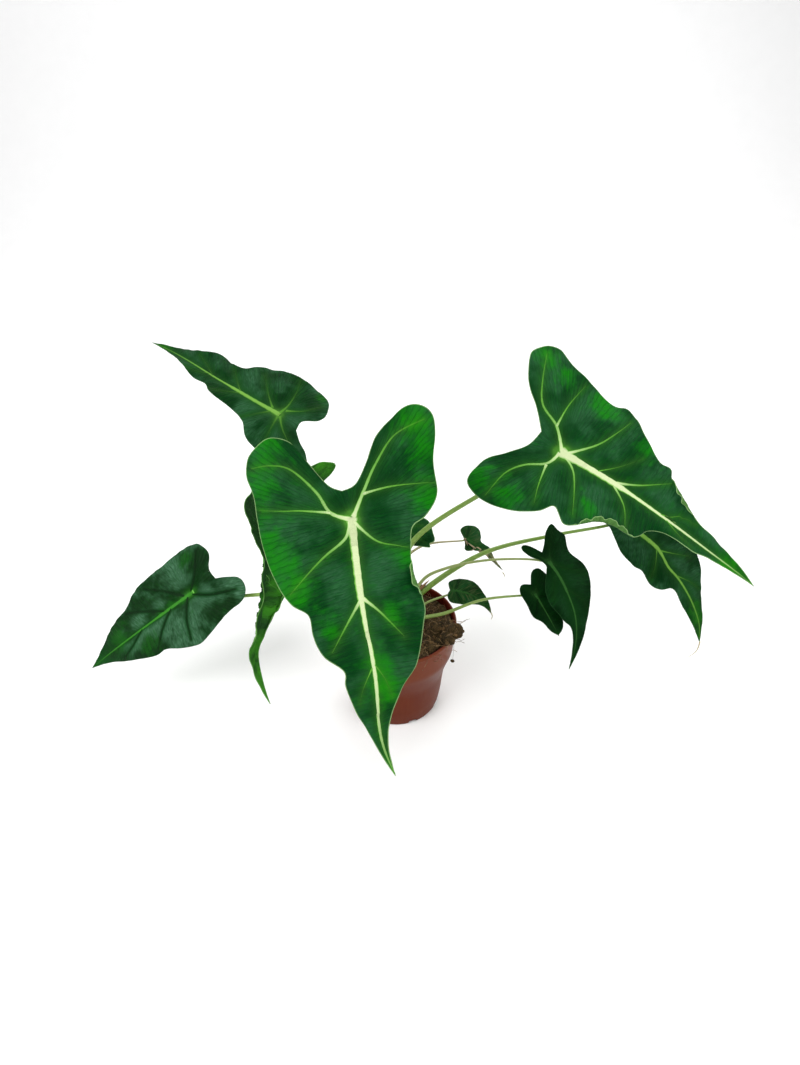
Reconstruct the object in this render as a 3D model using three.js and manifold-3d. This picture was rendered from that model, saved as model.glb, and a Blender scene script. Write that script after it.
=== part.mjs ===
// A young arrow-leaved aroid in its round nursery pot of soil, in millimetres, +Z up.
// Origin: the centre of the pot's underside. -Y is the front, where the large front leaf hangs.
import * as THREE from "three";
import { mergeVertices } from "three/addons/utils/BufferGeometryUtils.js";
import Module from "manifold-3d";

const wasm = await Module();
wasm.setup();

// ---- driving dimensions -------------------------------------------------------------------
const GAP = 0.35; // clearance kept between two pieces that touch

const POT = {
  height: 80,
  rimRadius: 45, // outside of the lip at the top
  // Outside of the wall as [radius, height]: a slow taper, a flared shoulder and a steep collar.
  wallLine: [[33.5, 0], [35.4, 12], [37.5, 37], [40.4, 48], [43.6, 58], [44, 76.8]],
  wall: 1.4,
  floor: 1.8,
  slots: 8, // drainage slots round the base corner
  slotWidth: 7,
  slotHeight: 3.2,
  slotDepth: 7,
};

const SOIL = {
  backLevel: 69.5, // low against the back wall
  frontLevel: 79, // heaped up at the front right
  heapAzimuth: -48, // degrees from +X towards +Y
  rings: 8,
  spokes: 36,
  bump: 1.1,
  bottomGap: 0.4,
  squash: 0.6, // height of a lump for its width
};

// Lumps of soil: azimuth in degrees, distance from the axis, height of the centre, size. The
// first two spill over the rim.
const CLODS = [
  [-19, 44, 81.8, 8.2],
  [-31, 43, 81.2, 6.6],
  [-8, 38, 78.2, 5.8],
  [-46, 37, 78.5, 6],
  [-16, 32, 79, 7],
  [-64, 31, 77.5, 5.6],
  [14, 33, 73.5, 4.8],
  [50, 31, 70.5, 4.8],
  [95, 33, 70.5, 4.6],
  [140, 29, 71, 5.6],
  [178, 34, 71.5, 5],
  [-152, 30, 73, 6],
  [-118, 35, 74, 5.4],
  [-88, 27, 76, 6],
];

const STALK_DEPTH = 13; // how deep a stalk stands in its hole
const STALK_RISE = 4; // how far it comes straight up out of the soil
const STALK_SIDES = 8;
const STALK_STEP = 10; // spacing of its rings
const HOLE_STEPS = 3; // how many of them its hole follows
const TAPER = 1.6; // more than 1: the stalk thins fastest near the soil

// A blade's rows fan round the stalk's junction through the back lobe, then step down the midrib.
// ridge is the midrib's extra depth on the underside, arrival the stalk's last straight run.
const LARGE = {
  fanRows: 13,
  ribRows: 21,
  across: [0, 0.08, 0.36, 0.7, 1], // columns from midrib to margin
  thick: 0.8,
  ridge: 1.6,
  arrival: 8,
};
const SMALL = {
  fanRows: 6,
  ribRows: 12,
  across: [0, 0.12, 0.55, 1],
  thick: 0.7,
  ridge: 0.8,
  arrival: 3.5,
};
const RIB_EVERY = 4; // each fourth row carries a side rib on the underside
const RIB_RISE = 0.55;

// Each leaf: junction and tip in space, roll about the midrib, and the blade's outline.
// An outline runs from the notch between the back lobes to the tip, as [along, outward] pairs:
// along the midrib from the junction, and outward from it. left is the side on the left when
// looking from the junction to the tip with the upper face up.
//   arch     how far the midrib bows up between junction and tip
//   lobe     rise of the back lobes (their square law)
//   sweep    sideways bow of the midrib, towards the left
//   hook     sideways bend of the last third
//   drop     downward bend of the last third
//   fold     degrees that each half rises from flat at the junction, [left, right]
//   foldTip  the same at the tip
//   cup      droop of the margins at half width `half`
//   wave     margin waves: [height, waves along the margin, phase] for left and right
//   shoulder share of the outline that the fan of rows takes
const LEAVES = [
  {
    name: "front",
    size: LARGE,
    junction: [-23, -66, 215],
    tip: [-5, -149, 104],
    roll: 9,
    arch: 5,
    lobe: 10,
    sweep: 1,
    hook: 6,
    drop: 0,
    fold: [3, 3],
    foldTip: [12, 12],
    cup: 4,
    half: 48,
    wave: [[1.6, 4.5, 0.1], [1.6, 5, 0.4]],
    shoulder: 0.46,
    left: [
      [-16, -3], [-19, 5], [-31, 13], [-44, 20], [-56, 34], [-59, 44], [-54, 52], [-44, 53],
      [-25, 49], [-8, 48], [3, 40], [9, 31], [20, 29], [34, 28], [50, 32], [60, 30], [80, 24],
      [92, 15], [108, 6], [123, 1.5], [140, 0],
    ],
    right: [
      [-16, 3], [-20, 10], [-32, 18], [-45, 26], [-50, 36], [-48, 44], [-41, 52], [-31, 54],
      [-18, 51], [9, 50], [28, 45], [41, 38], [48, 30], [59, 29], [70, 25], [79, 15], [87, 15],
      [100, 12], [117, 6], [140, 0],
    ],
    stalk: { base: [-3, -9], via: [[-6, -13, 105], [-13, -34, 178]], radii: [3.4, 1.7] },
  },
  {
    name: "right",
    size: LARGE,
    junction: [104, 3, 218],
    tip: [222, -48, 152],
    roll: 38,
    arch: 5,
    lobe: 8,
    sweep: 3,
    hook: 0,
    drop: 0,
    fold: [3, 3],
    foldTip: [12, 12],
    cup: 4,
    half: 45,
    wave: [[2, 5, 0.3], [2.2, 5, 0.1]],
    shoulder: 0.46,
    left: [
      [-18, 6], [-29, 19], [-42, 32], [-51, 48], [-51, 56], [-45, 65], [-37, 67], [-25, 59],
      [-5, 50], [11, 46], [19, 48], [27, 44], [37, 35], [52, 27], [61, 27], [66, 21], [74, 15],
      [90, 8], [106, 7], [125, 4], [144, 0],
    ],
    right: [
      [-18, -6], [-20, 6], [-28, 17], [-37, 28], [-39, 44], [-32, 50], [-20, 51], [-3, 47],
      [8, 41], [14, 34], [24, 40], [30, 37], [40, 28], [50, 26], [63, 25], [70, 15], [80, 10],
      [98, 10], [112, 6], [126, 3], [144, 0],
    ],
    stalk: {
      base: [-5, 3],
      via: [[-1, 7, 108], [12, 11, 143], [52, 4, 184], [84, 2, 205]],
      radii: [2.8, 1.3],
    },
  },
  {
    name: "back_left",
    size: LARGE,
    junction: [-81, 59, 218],
    tip: [-192, 148, 237],
    roll: -18,
    arch: 6,
    lobe: 0,
    sweep: 0,
    hook: 0,
    drop: 0,
    fold: [3, 3],
    foldTip: [10, 10],
    cup: 3,
    half: 33,
    wave: [[1.6, 5, 0.2], [1.6, 5, 0.6]],
    shoulder: 0.42,
    left: [
      [-19, 3], [-28, 9], [-38, 14], [-45, 22], [-41, 30], [-28, 33], [-8, 31], [3, 29],
      [14, 21], [32, 17], [50, 17], [60, 13], [77, 12], [96, 7], [116, 3], [143, 0],
    ],
    right: [
      [-19, -3], [-17, 5], [-25, 13], [-26, 20], [-19, 30], [-8, 34], [9, 34], [26, 32],
      [40, 24], [47, 15], [58, 14], [75, 16], [90, 10], [104, 8], [120, 3], [143, 0],
    ],
    stalk: { base: [-10, 8], via: [[-20, 12, 105], [-48, 18, 157], [-69, 35, 196]], radii: [3, 1.3] },
  },
  {
    name: "low_left",
    size: LARGE,
    junction: [-152, 9, 97],
    tip: [-234, -9, 37],
    roll: -35,
    arch: 4,
    lobe: 6,
    sweep: 0,
    hook: 0,
    drop: 0,
    fold: [3, 3],
    foldTip: [10, 10],
    cup: 3,
    half: 35,
    wave: [[1.3, 4, 0.2], [1.3, 4, 0.5]],
    shoulder: 0.42,
    left: [
      [-22, 1], [-30, 5], [-38, 11], [-39, 19], [-33, 27], [-15, 30], [0, 34], [10, 37],
      [22, 33], [35, 26], [46, 25], [67, 16], [84, 7], [103, 0],
    ],
    right: [
      [-22, -1], [-21, 8], [-26, 19], [-23, 29], [-17, 33], [-4, 35], [14, 31], [38, 29],
      [51, 19], [71, 15], [88, 5], [103, 0],
    ],
    stalk: {
      base: [-12, 0],
      via: [[-24, 2, 94], [-58, 8, 101], [-99, 8, 97], [-134, 14, 89]],
      radii: [2.6, 1.2],
    },
  },
  {
    name: "left",
    size: LARGE,
    junction: [-80, -34, 183],
    tip: [-98.5, -78, 101.5],
    roll: 110,
    arch: -9,
    lobe: -62,
    sweep: -2,
    hook: 0,
    drop: 29,
    fold: [-24, -18],
    foldTip: [-30, -30],
    cup: 3,
    half: 40,
    wave: [[1.6, 7, 0.2], [1.4, 5, 0.5]],
    shoulder: 0.46,
    left: [
      [-14, 3], [-24, 7], [-33, 10], [-38, 13], [-35, 16], [-27, 15], [-20, 19], [-14, 21],
      [-7, 19], [2, 12], [10, 7], [20, 3.5], [36, 3], [52, 3.5], [66, 4.5], [80, 5], [92, 3.5],
      [101, 0],
    ],
    right: [
      [-14, -3], [-23, 8], [-36, 20], [-47, 30], [-49.5, 37], [-48, 41.5], [-42, 41], [-30, 35],
      [-15, 30], [8, 27], [24, 19], [38, 12], [52, 7], [68, 3.5], [84, 3], [101, 0],
    ],
    stalk: { base: [-10, -7], via: [[-17, -10, 104], [-42, -25, 160]], radii: [3, 1.4] },
  },
  {
    name: "lower_right",
    size: LARGE,
    junction: [168, 32, 146],
    tip: [228, -6, 62],
    roll: 30,
    arch: 3,
    lobe: 4,
    sweep: 9,
    hook: 0,
    drop: 0,
    fold: [3, -12],
    foldTip: [6, -6],
    cup: 3,
    half: 33,
    wave: [[1.4, 4, 0.2], [1.2, 4, 0.5]],
    shoulder: 0.44,
    left: [
      [-14, 0], [-24, 7], [-36, 13], [-43, 22], [-38, 31], [-24, 34], [-6, 35], [12, 34],
      [30, 31], [53, 25], [74, 14.5], [92, 9], [110, 0],
    ],
    right: [
      [-14, 0], [-20, 5], [-26, 9], [-28, 13], [-22, 15], [-12, 13], [-4, 12], [6, 16],
      [17, 21], [30, 21], [38, 18], [50, 19], [57, 15], [62, 7], [78, 5], [94, 3], [110, 0],
    ],
    stalk: {
      base: [3.5, 8.5],
      via: [[20, 16, 93], [65, 28, 120], [115, 31, 134], [150, 36, 138]],
      radii: [2.8, 1.1],
    },
  },
  {
    name: "young_right",
    size: SMALL,
    junction: [107, 3, 132],
    tip: [122, -39, 68],
    roll: 2,
    arch: 1,
    lobe: 0,
    sweep: 11,
    hook: 0,
    drop: 0,
    fold: [2, -8],
    foldTip: [4, 4],
    cup: 2,
    half: 22,
    wave: [[0.6, 3, 0.2], [0.8, 3, 0.5]],
    shoulder: 0.42,
    left: [
      [-7, 0.5], [-12, 6], [-20, 14], [-25, 23], [-20, 24], [-15, 25.5], [-8, 21], [-2, 19],
      [6, 22.5], [13, 23], [22, 20], [35, 14], [46, 10], [58, 7], [68, 3.5], [78, 0],
    ],
    right: [
      [-7, -0.5], [-13, 4], [-14.5, 8], [-11.5, 10.5], [-6, 9], [-2, 5], [3, 4], [8, 7],
      [14, 11], [21, 14.5], [30, 15], [38, 11], [44, 7.5], [49, 3], [56, 1.5], [66, 1], [78, 0],
    ],
    stalk: {
      base: [7.5, 2.5],
      via: [[20, 9, 110.5], [36, 10, 120], [64, 11, 126.5], [95, 9, 129]],
      radii: [1.6, 0.8],
    },
  },
  {
    name: "young_right_low",
    size: SMALL,
    junction: [99, -5, 109],
    tip: [116, -22, 84],
    roll: 18,
    arch: 1,
    lobe: 0,
    sweep: 0,
    hook: 0,
    drop: 0,
    fold: [-2, -2],
    foldTip: [4, 4],
    cup: 1.5,
    half: 15,
    wave: [[0.4, 2, 0.2], [0.4, 2, 0.5]],
    shoulder: 0.45,
    left: [[-7, 1], [-14, 7], [-13, 14], [-4, 17], [10, 15], [22, 11], [31, 6], [34, 0]],
    right: [[-7, -1], [-10, 5], [-6, 9], [3, 9.5], [13, 10], [20, 6], [28, 4], [34, 0]],
    stalk: { base: [9, -5], via: [[18, -7, 87], [34, -9, 93.5], [62, -8, 106]], radii: [1.8, 0.8] },
  },
  {
    name: "young_rim",
    size: SMALL,
    junction: [42, 9, 100],
    tip: [70, -2, 87],
    roll: 30,
    arch: 2,
    lobe: 0,
    sweep: 4,
    hook: 0,
    drop: 0,
    fold: [-2, -2],
    foldTip: [4, 4],
    cup: 1.5,
    half: 13,
    wave: [[0.4, 2, 0.2], [0.4, 2, 0.5]],
    shoulder: 0.45,
    left: [[-2, 0], [-5.5, 7], [-2, 10.5], [4, 11], [11, 10], [20, 6.5], [27, 4], [33, 0]],
    right: [[-2, 0], [-2, 3], [0, 7], [4, 10], [12, 9], [17, 6], [22, 3], [27, 1.2], [33, 0]],
    stalk: { base: [13, 1.5], via: [[21, 5, 90]], radii: [1.5, 0.7] },
  },
  {
    name: "young_back",
    size: SMALL,
    junction: [53, 44, 122],
    tip: [81.5, 31, 98.5],
    roll: 30,
    arch: 2,
    lobe: 0,
    sweep: 2,
    hook: 3,
    drop: 3,
    fold: [2, 2],
    foldTip: [8, 8],
    cup: 1,
    half: 11,
    wave: [[0.8, 3, 0.2], [0.8, 3, 0.5]],
    shoulder: 0.45,
    left: [
      [-2, 0], [-7, 4], [-6, 9.5], [-1, 12.5], [4, 11.5], [8, 8], [11, 4.5], [18, 4.5],
      [22, 3], [30, 1.5], [37.5, 0],
    ],
    right: [
      [-2, 0], [2, 4], [3.5, 7.5], [6.5, 8.5], [9, 6], [10.5, 3.5], [15, 3.5], [20, 2],
      [29, 1], [37.5, 0],
    ],
    stalk: { base: [-2, 13.5], via: [[3, 28, 108], [20, 41, 117]], radii: [2.2, 0.65] },
  },
  {
    name: "young_centre",
    size: SMALL,
    junction: [9, 28, 145],
    tip: [-3, 16, 127],
    roll: 0,
    arch: 1,
    lobe: 0,
    sweep: 0,
    hook: 0,
    drop: 0,
    fold: [2, 2],
    foldTip: [4, 4],
    cup: 1.5,
    half: 18,
    wave: [[0.6, 3, 0.2], [0.6, 3, 0.5]],
    shoulder: 0.45,
    left: [
      [-5, 0], [-10, 7], [-9, 14], [-5, 19.5], [0, 24.5], [3.5, 22.5], [6, 24], [9, 17], [13, 8],
      [18, 4], [24.5, 0],
    ],
    right: [[-5, 0], [-11, 7], [-8, 13], [-1, 15], [6, 13], [13, 8], [19, 4], [24.5, 0]],
    stalk: { base: [4.5, 14], via: [[5, 22, 105]], radii: [1.7, 0.9] },
  },
];

const COLOURS = {
  blade: { color: 0x174a24, roughness: 0.5 },
  stalk: { color: 0x7d9a4a, roughness: 0.5 },
  pot: { color: 0x7a4030, roughness: 0.55 },
  soil: { color: 0x3a2a1e, roughness: 0.95 },
};

// ---- helpers --------------------------------------------------------------------------------
const clamp01 = (x) => Math.min(1, Math.max(0, x));
const radians = THREE.MathUtils.degToRad;

function meshOf(name, geometry, finish) {
  const mesh = new THREE.Mesh(geometry, new THREE.MeshStandardMaterial({ ...finish, metalness: 0 }));
  mesh.name = name;
  return mesh;
}

function indexedGeometry(points, triangles) {
  const geometry = new THREE.BufferGeometry().setFromPoints(points);
  geometry.setIndex(triangles.flat());
  return geometry;
}

function solidOf(geometry) {
  const bare = geometry.clone();
  bare.deleteAttribute("normal");
  bare.deleteAttribute("uv");
  const merged = mergeVertices(bare, 1e-4);
  return new wasm.Manifold(
    new wasm.Mesh({
      numProp: 3,
      vertProperties: merged.attributes.position.array,
      triVerts: new Uint32Array(merged.index.array),
    }),
  );
}

function geometryOf(solid) {
  const mesh = solid.getMesh();
  return new THREE.BufferGeometry()
    .setAttribute("position", new THREE.BufferAttribute(mesh.vertProperties, 3))
    .setIndex(new THREE.BufferAttribute(mesh.triVerts, 1));
}

// ---- leaves ---------------------------------------------------------------------------------
// The leaf's own axes: along the midrib, to its left, and up out of the upper face.
function leafFrame(leaf) {
  const junction = new THREE.Vector3(...leaf.junction);
  const along = new THREE.Vector3(...leaf.tip).sub(junction);
  const length = along.length();
  along.divideScalar(length);
  const level = new THREE.Vector3(0, 0, 1).cross(along).normalize();
  const left = level.clone().applyAxisAngle(along, radians(leaf.roll));
  const up = along.clone().cross(left);
  return { junction, length, along, left, up };
}

// A point of the upper face. u runs along the midrib, v to the left; reach is the share of the
// way from midrib to margin, and t the share of the outline passed from notch to tip.
function bladePoint(leaf, frame, u, v, reach, t) {
  const k = u / frame.length;
  const side = v >= 0 ? 0 : 1;
  const bow = 4 * k * (k > 0 ? 1 - k : 1);
  const lastThird = Math.max(0, (k - 0.7) / 0.3) ** 2;
  const fold = radians(THREE.MathUtils.lerp(leaf.fold[side], leaf.foldTip[side], clamp01(k)));
  const [height, waves, phase] = leaf.wave[side];
  const fade = Math.min(1, 5 * t, 5 * (1 - t));
  const ripple = height * fade * reach ** 3 * Math.sin(2 * Math.PI * (waves * t + phase));
  const backLobe = k < 0 ? leaf.lobe * k * k : 0;
  const droop = leaf.cup * (v / leaf.half) ** 2 + leaf.drop * lastThird;
  const rise = leaf.arch * bow + backLobe + Math.abs(v) * Math.sin(fold) - droop + ripple;
  const across = leaf.sweep * bow + leaf.hook * lastThird + v * Math.cos(fold);
  return frame.junction
    .clone()
    .addScaledVector(frame.along, u)
    .addScaledVector(frame.left, across)
    .addScaledVector(frame.up, rise);
}

// The upper face as rows from the midrib to the margin, both halves sharing the midrib, the row
// that runs back to the notch, and the tip.
function bladeSheet(leaf, frame) {
  const { fanRows, ribRows, across } = leaf.size;
  const lastRow = fanRows + ribRows;
  const lastColumn = across.length - 1;
  const points = [];
  const depths = [];
  const triangles = [];
  const known = new Map();

  const vertex = (sign, edge, row, column) => {
    const step = Math.max(0, row - fanRows);
    let key = `${sign} ${row} ${column}`;
    if (row === 0) key = `notch ${column}`;
    if (column === 0) key = `midrib ${step}`;
    if (row === lastRow) key = "tip";
    if (known.has(key)) return known.get(key);
    const t = row < fanRows
      ? (leaf.shoulder * row) / fanRows
      : leaf.shoulder + ((1 - leaf.shoulder) * step) / ribRows;
    const foot = (frame.length * step) / ribRows;
    const rim = edge.getPointAt(t);
    const reach = across[column];
    const u = foot + (rim.x - foot) * reach;
    const v = sign * rim.y * reach;
    const thinning = 1 - 0.75 * clamp01(foot / frame.length);
    const onSideRib = row % RIB_EVERY === 0 && column > 0 && column < lastColumn;
    const rib = onSideRib ? RIB_RISE * thinning * (1 - reach) : 0;
    const midrib = column === 0 ? leaf.size.ridge * thinning : 0;
    points.push(bladePoint(leaf, frame, u, v, reach, t));
    depths.push(leaf.size.thick + midrib + rib);
    known.set(key, points.length - 1);
    return points.length - 1;
  };

  for (const [sign, outline] of [[1, leaf.left], [-1, leaf.right]]) {
    const edge = new THREE.SplineCurve(outline.map(([x, y]) => new THREE.Vector2(x, y)));
    for (let row = 0; row < lastRow; row++) {
      for (let column = 0; column < lastColumn; column++) {
        const a = vertex(sign, edge, row, column);
        const b = vertex(sign, edge, row + 1, column);
        const c = vertex(sign, edge, row + 1, column + 1);
        const d = vertex(sign, edge, row, column + 1);
        for (const [p, q, r] of [[a, b, c], [a, c, d]]) {
          if (p === q || q === r || r === p) continue;
          triangles.push(sign > 0 ? [p, q, r] : [p, r, q]);
        }
      }
    }
  }
  return { points, depths, triangles };
}

// The blade: the sheet, the same sheet lowered by its depth, and a strip round the margin.
function bladeGeometry(leaf, frame) {
  const { points, depths, triangles } = bladeSheet(leaf, frame);
  const sheet = indexedGeometry(points, triangles);
  sheet.computeVertexNormals();
  const count = points.length;
  const normals = sheet.attributes.normal;
  const lower = points.map((point, i) =>
    point.clone().addScaledVector(new THREE.Vector3().fromBufferAttribute(normals, i), -depths[i]),
  );
  const faces = [...triangles, ...triangles.map(([a, b, c]) => [a + count, c + count, b + count])];
  const edges = new Set(triangles.flatMap(([a, b, c]) => [`${a} ${b}`, `${b} ${c}`, `${c} ${a}`]));
  for (const edge of edges) {
    const [a, b] = edge.split(" ").map(Number);
    if (edges.has(`${b} ${a}`)) continue;
    faces.push([b, a, a + count], [b, a + count, b + count]);
  }
  return indexedGeometry([...points, ...lower], faces);
}

// ---- stalks ---------------------------------------------------------------------------------
function soilLevel(x, y) {
  const azimuth = Math.atan2(y, x) - radians(SOIL.heapAzimuth);
  const outward = clamp01(Math.hypot(x, y) / 42);
  const heap = 0.5 + 0.5 * Math.cos(azimuth) * outward;
  return SOIL.backLevel + (SOIL.frontLevel - SOIL.backLevel) * heap;
}

// From the bottom of its hole straight up out of the soil, through its way-points, to arrive
// square to the underside of the blade at the junction.
function stalkCurve(leaf, frame) {
  const { base, via } = leaf.stalk;
  const level = soilLevel(...base);
  const step = 1;
  const ahead = bladePoint(leaf, frame, step, 0, 0, 0.5);
  const behind = bladePoint(leaf, frame, 0, 0, 0, 0.5);
  const square = ahead.sub(behind).cross(frame.left).normalize();
  const under = (depth) => frame.junction.clone().addScaledVector(square, -depth);
  const endDepth = leaf.size.thick + leaf.size.ridge + GAP + 0.1;
  return new THREE.CatmullRomCurve3(
    [
      new THREE.Vector3(...base, level - STALK_DEPTH),
      new THREE.Vector3(...base, level + STALK_RISE),
      ...via.map((point) => new THREE.Vector3(...point)),
      under(endDepth + leaf.size.arrival),
      under(endDepth),
    ],
    false,
    "centripetal",
  );
}

// A tapering round tube along the curve, which is cut into steps; it ends after `rows` of them.
function taperedTube(curve, radii, steps, rows, grow) {
  const frames = curve.computeFrenetFrames(steps, false);
  const points = [];
  const triangles = [];
  for (let i = 0; i <= rows; i++) {
    const share = i / steps;
    const centre = curve.getPointAt(share);
    const tangent = frames.tangents[i];
    if (i === 0) centre.addScaledVector(tangent, -grow);
    const radius = THREE.MathUtils.lerp(radii[1], radii[0], (1 - share) ** TAPER) + grow;
    for (let j = 0; j < STALK_SIDES; j++) {
      const angle = (2 * Math.PI * j) / STALK_SIDES;
      points.push(
        centre
          .clone()
          .addScaledVector(frames.normals[i], radius * Math.cos(angle))
          .addScaledVector(frames.binormals[i], radius * Math.sin(angle)),
      );
    }
  }
  for (let i = 0; i < rows; i++) {
    for (let j = 0; j < STALK_SIDES; j++) {
      const a = i * STALK_SIDES + j;
      const b = i * STALK_SIDES + ((j + 1) % STALK_SIDES);
      triangles.push([a, b, b + STALK_SIDES], [a, b + STALK_SIDES, a + STALK_SIDES]);
    }
  }
  const top = rows * STALK_SIDES;
  for (let j = 1; j < STALK_SIDES - 1; j++) {
    triangles.push([0, j + 1, j], [top, top + j, top + j + 1]);
  }
  return indexedGeometry(points, triangles);
}

// ---- pot ------------------------------------------------------------------------------------
// Outside radius of the pot's wall at a height.
function wallRadius(z) {
  const { wallLine } = POT;
  const above = Math.max(1, wallLine.findIndex(([, height]) => height >= z));
  const [[r0, z0], [r1, z1]] = [wallLine[above - 1], wallLine[above]];
  return THREE.MathUtils.lerp(r0, r1, (z - z0) / (z1 - z0));
}

function potGeometry() {
  const { height, rimRadius, wallLine, wall, floor } = POT;
  const baseRadius = wallLine[0][0];
  const upTheWall = wallLine.slice(1);
  const profile = [
    [0, 0],
    [baseRadius - 0.8, 0],
    [wallRadius(0.8), 0.8],
    ...upTheWall,
    [rimRadius, height - 2.6],
    [rimRadius, height - 0.6],
    [rimRadius - 0.6, height],
    [rimRadius - wall - 0.3, height],
    [rimRadius - wall - 0.8, height - 1],
    ...upTheWall.map(([radius, z]) => [radius - wall, z]).reverse(),
    [wallRadius(floor) - wall, floor],
    [0, floor],
  ];
  const lathe = new THREE.LatheGeometry(
    profile.map(([radius, z]) => new THREE.Vector2(radius, z)),
    48,
  );
  lathe.rotateX(Math.PI / 2);
  let pot = solidOf(lathe);
  const slot = new THREE.BoxGeometry(POT.slotDepth, POT.slotWidth, POT.slotHeight);
  slot.translate(baseRadius - POT.slotDepth / 2 + 2.4, 0, POT.slotHeight / 2 - 0.01);
  for (let i = 0; i < POT.slots; i++) {
    const turned = slot.clone().rotateZ((2 * Math.PI * (i + 0.5)) / POT.slots);
    pot = pot.subtract(solidOf(turned));
  }
  return geometryOf(pot);
}

// ---- soil -----------------------------------------------------------------------------------
// A plain seeded draw, so that the soil comes out alike every time.
function seededDraw(seed) {
  let state = seed;
  return () => {
    state = (state * 16807) % 2147483647;
    return state / 2147483647;
  };
}

// How far the soil reaches out at a height, clear of the wall.
function soilRadius(z) {
  return wallRadius(z) - POT.wall - GAP - 0.3;
}

// The filling: a plug of soil with an uneven heaped top, clear of the wall all round.
function soilPlug(draw) {
  const { rings, spokes, bump, bottomGap } = SOIL;
  const bottom = POT.floor + bottomGap;
  const points = [new THREE.Vector3(0, 0, bottom)];
  const triangles = [];
  const addRing = (radius, heightAt) => {
    for (let j = 0; j < spokes; j++) {
      const angle = (2 * Math.PI * j) / spokes;
      const x = radius * Math.cos(angle);
      const y = radius * Math.sin(angle);
      points.push(new THREE.Vector3(x, y, heightAt(x, y)));
    }
  };
  const walled = POT.wallLine.map(([, z]) => z).filter((z) => z > bottom && z < SOIL.backLevel);
  for (const z of [bottom, ...walled]) addRing(soilRadius(z), () => z);
  const topRadius = soilRadius(SOIL.backLevel);
  for (let ring = rings; ring >= 1; ring--) {
    const radius = (topRadius * ring) / rings;
    const level = (x, y) => soilLevel(x, y) + (draw() - 0.5) * 2 * bump;
    addRing(radius, level);
  }
  points.push(new THREE.Vector3(0, 0, soilLevel(0, 0)));
  const lastPoint = points.length - 1;
  const ringCount = rings + walled.length + 1;
  for (let j = 0; j < spokes; j++) {
    const next = (j + 1) % spokes;
    triangles.push([0, 1 + next, 1 + j]);
    for (let i = 0; i < ringCount - 1; i++) {
      const a = 1 + i * spokes + j;
      const b = 1 + i * spokes + next;
      triangles.push([a, b, b + spokes], [a, b + spokes, a + spokes]);
    }
    const inner = 1 + (ringCount - 1) * spokes;
    triangles.push([inner + j, inner + next, lastPoint]);
  }
  return solidOf(indexedGeometry(points, triangles));
}

function clodSolid([azimuth, distance, height, size], draw) {
  const ball = new THREE.IcosahedronGeometry(size, 1);
  ball.deleteAttribute("normal");
  ball.deleteAttribute("uv");
  const lump = mergeVertices(ball, 1e-4);
  const position = lump.attributes.position;
  for (let i = 0; i < position.count; i++) {
    const swell = 0.7 + 0.45 * draw();
    position.setXYZ(
      i,
      position.getX(i) * swell,
      position.getY(i) * swell,
      position.getZ(i) * swell * SOIL.squash,
    );
  }
  const angle = radians(azimuth);
  lump.translate(distance * Math.cos(angle), distance * Math.sin(angle), height);
  return solidOf(lump);
}

// The room that the pot's rim takes, with the clearance round it.
function rimRoom() {
  const { height, rimRadius, wall } = POT;
  const foot = POT.wallLine.at(-2)[1];
  const inside = wallRadius(foot) - wall - GAP;
  const profile = [
    [inside, foot],
    [rimRadius + GAP, foot],
    [rimRadius + GAP, height + GAP],
    [inside, height + GAP],
    [inside, foot],
  ];
  const ring = new THREE.LatheGeometry(
    profile.map(([radius, z]) => new THREE.Vector2(radius, z)),
    48,
  );
  return solidOf(ring.rotateX(Math.PI / 2));
}

// ---- assembly -------------------------------------------------------------------------------
const plant = new THREE.Group();
plant.name = "potted_plant";
plant.add(meshOf("pot", potGeometry(), COLOURS.pot));

const draw = seededDraw(20417);
let soil = soilPlug(draw);
for (const clod of CLODS) soil = soil.add(clodSolid(clod, draw));
soil = soil.subtract(rimRoom());

for (const leaf of LEAVES) {
  const frame = leafFrame(leaf);
  const curve = stalkCurve(leaf, frame);
  const steps = Math.round(curve.getLength() / STALK_STEP);
  const stalk = taperedTube(curve, leaf.stalk.radii, steps, steps, 0);
  const hole = taperedTube(curve, leaf.stalk.radii, steps, HOLE_STEPS, GAP);
  soil = soil.subtract(solidOf(hole));
  plant.add(meshOf(`stalk_${leaf.name}`, stalk, COLOURS.stalk));
  plant.add(meshOf(`blade_${leaf.name}`, bladeGeometry(leaf, frame), COLOURS.blade));
}
plant.add(meshOf("soil", geometryOf(soil), COLOURS.soil));

export default plant;
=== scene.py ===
# %% [markdown]
# # An arrow-leaved aroid in its nursery pot
#
# A houseplant with dark velvety leaves, pale veins and a plain terracotta-brown pot. The packed
# solids carry its true size, and every piece below is built in the same frame, in metres, so that
# it lies where its solid lies. We start by loading that frame.

# %% Load the frame
import math

import bmesh
import bpy
import numpy as np
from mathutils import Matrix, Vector
from mathutils.bvhtree import BVHTree


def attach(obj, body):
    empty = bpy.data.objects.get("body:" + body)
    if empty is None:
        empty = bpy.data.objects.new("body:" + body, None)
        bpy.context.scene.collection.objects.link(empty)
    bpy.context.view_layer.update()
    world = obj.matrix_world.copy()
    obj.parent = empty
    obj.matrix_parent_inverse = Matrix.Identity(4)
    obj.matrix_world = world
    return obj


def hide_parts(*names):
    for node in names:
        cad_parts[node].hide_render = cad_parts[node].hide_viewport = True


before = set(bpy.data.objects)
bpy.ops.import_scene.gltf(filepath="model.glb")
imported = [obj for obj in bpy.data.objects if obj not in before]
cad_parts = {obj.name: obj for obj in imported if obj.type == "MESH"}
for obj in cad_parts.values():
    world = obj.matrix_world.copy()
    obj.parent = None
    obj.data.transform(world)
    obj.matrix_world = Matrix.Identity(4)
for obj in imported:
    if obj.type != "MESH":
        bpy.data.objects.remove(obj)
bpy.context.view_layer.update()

MM = 0.001
print("solids in the frame:", len(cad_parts))

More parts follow.
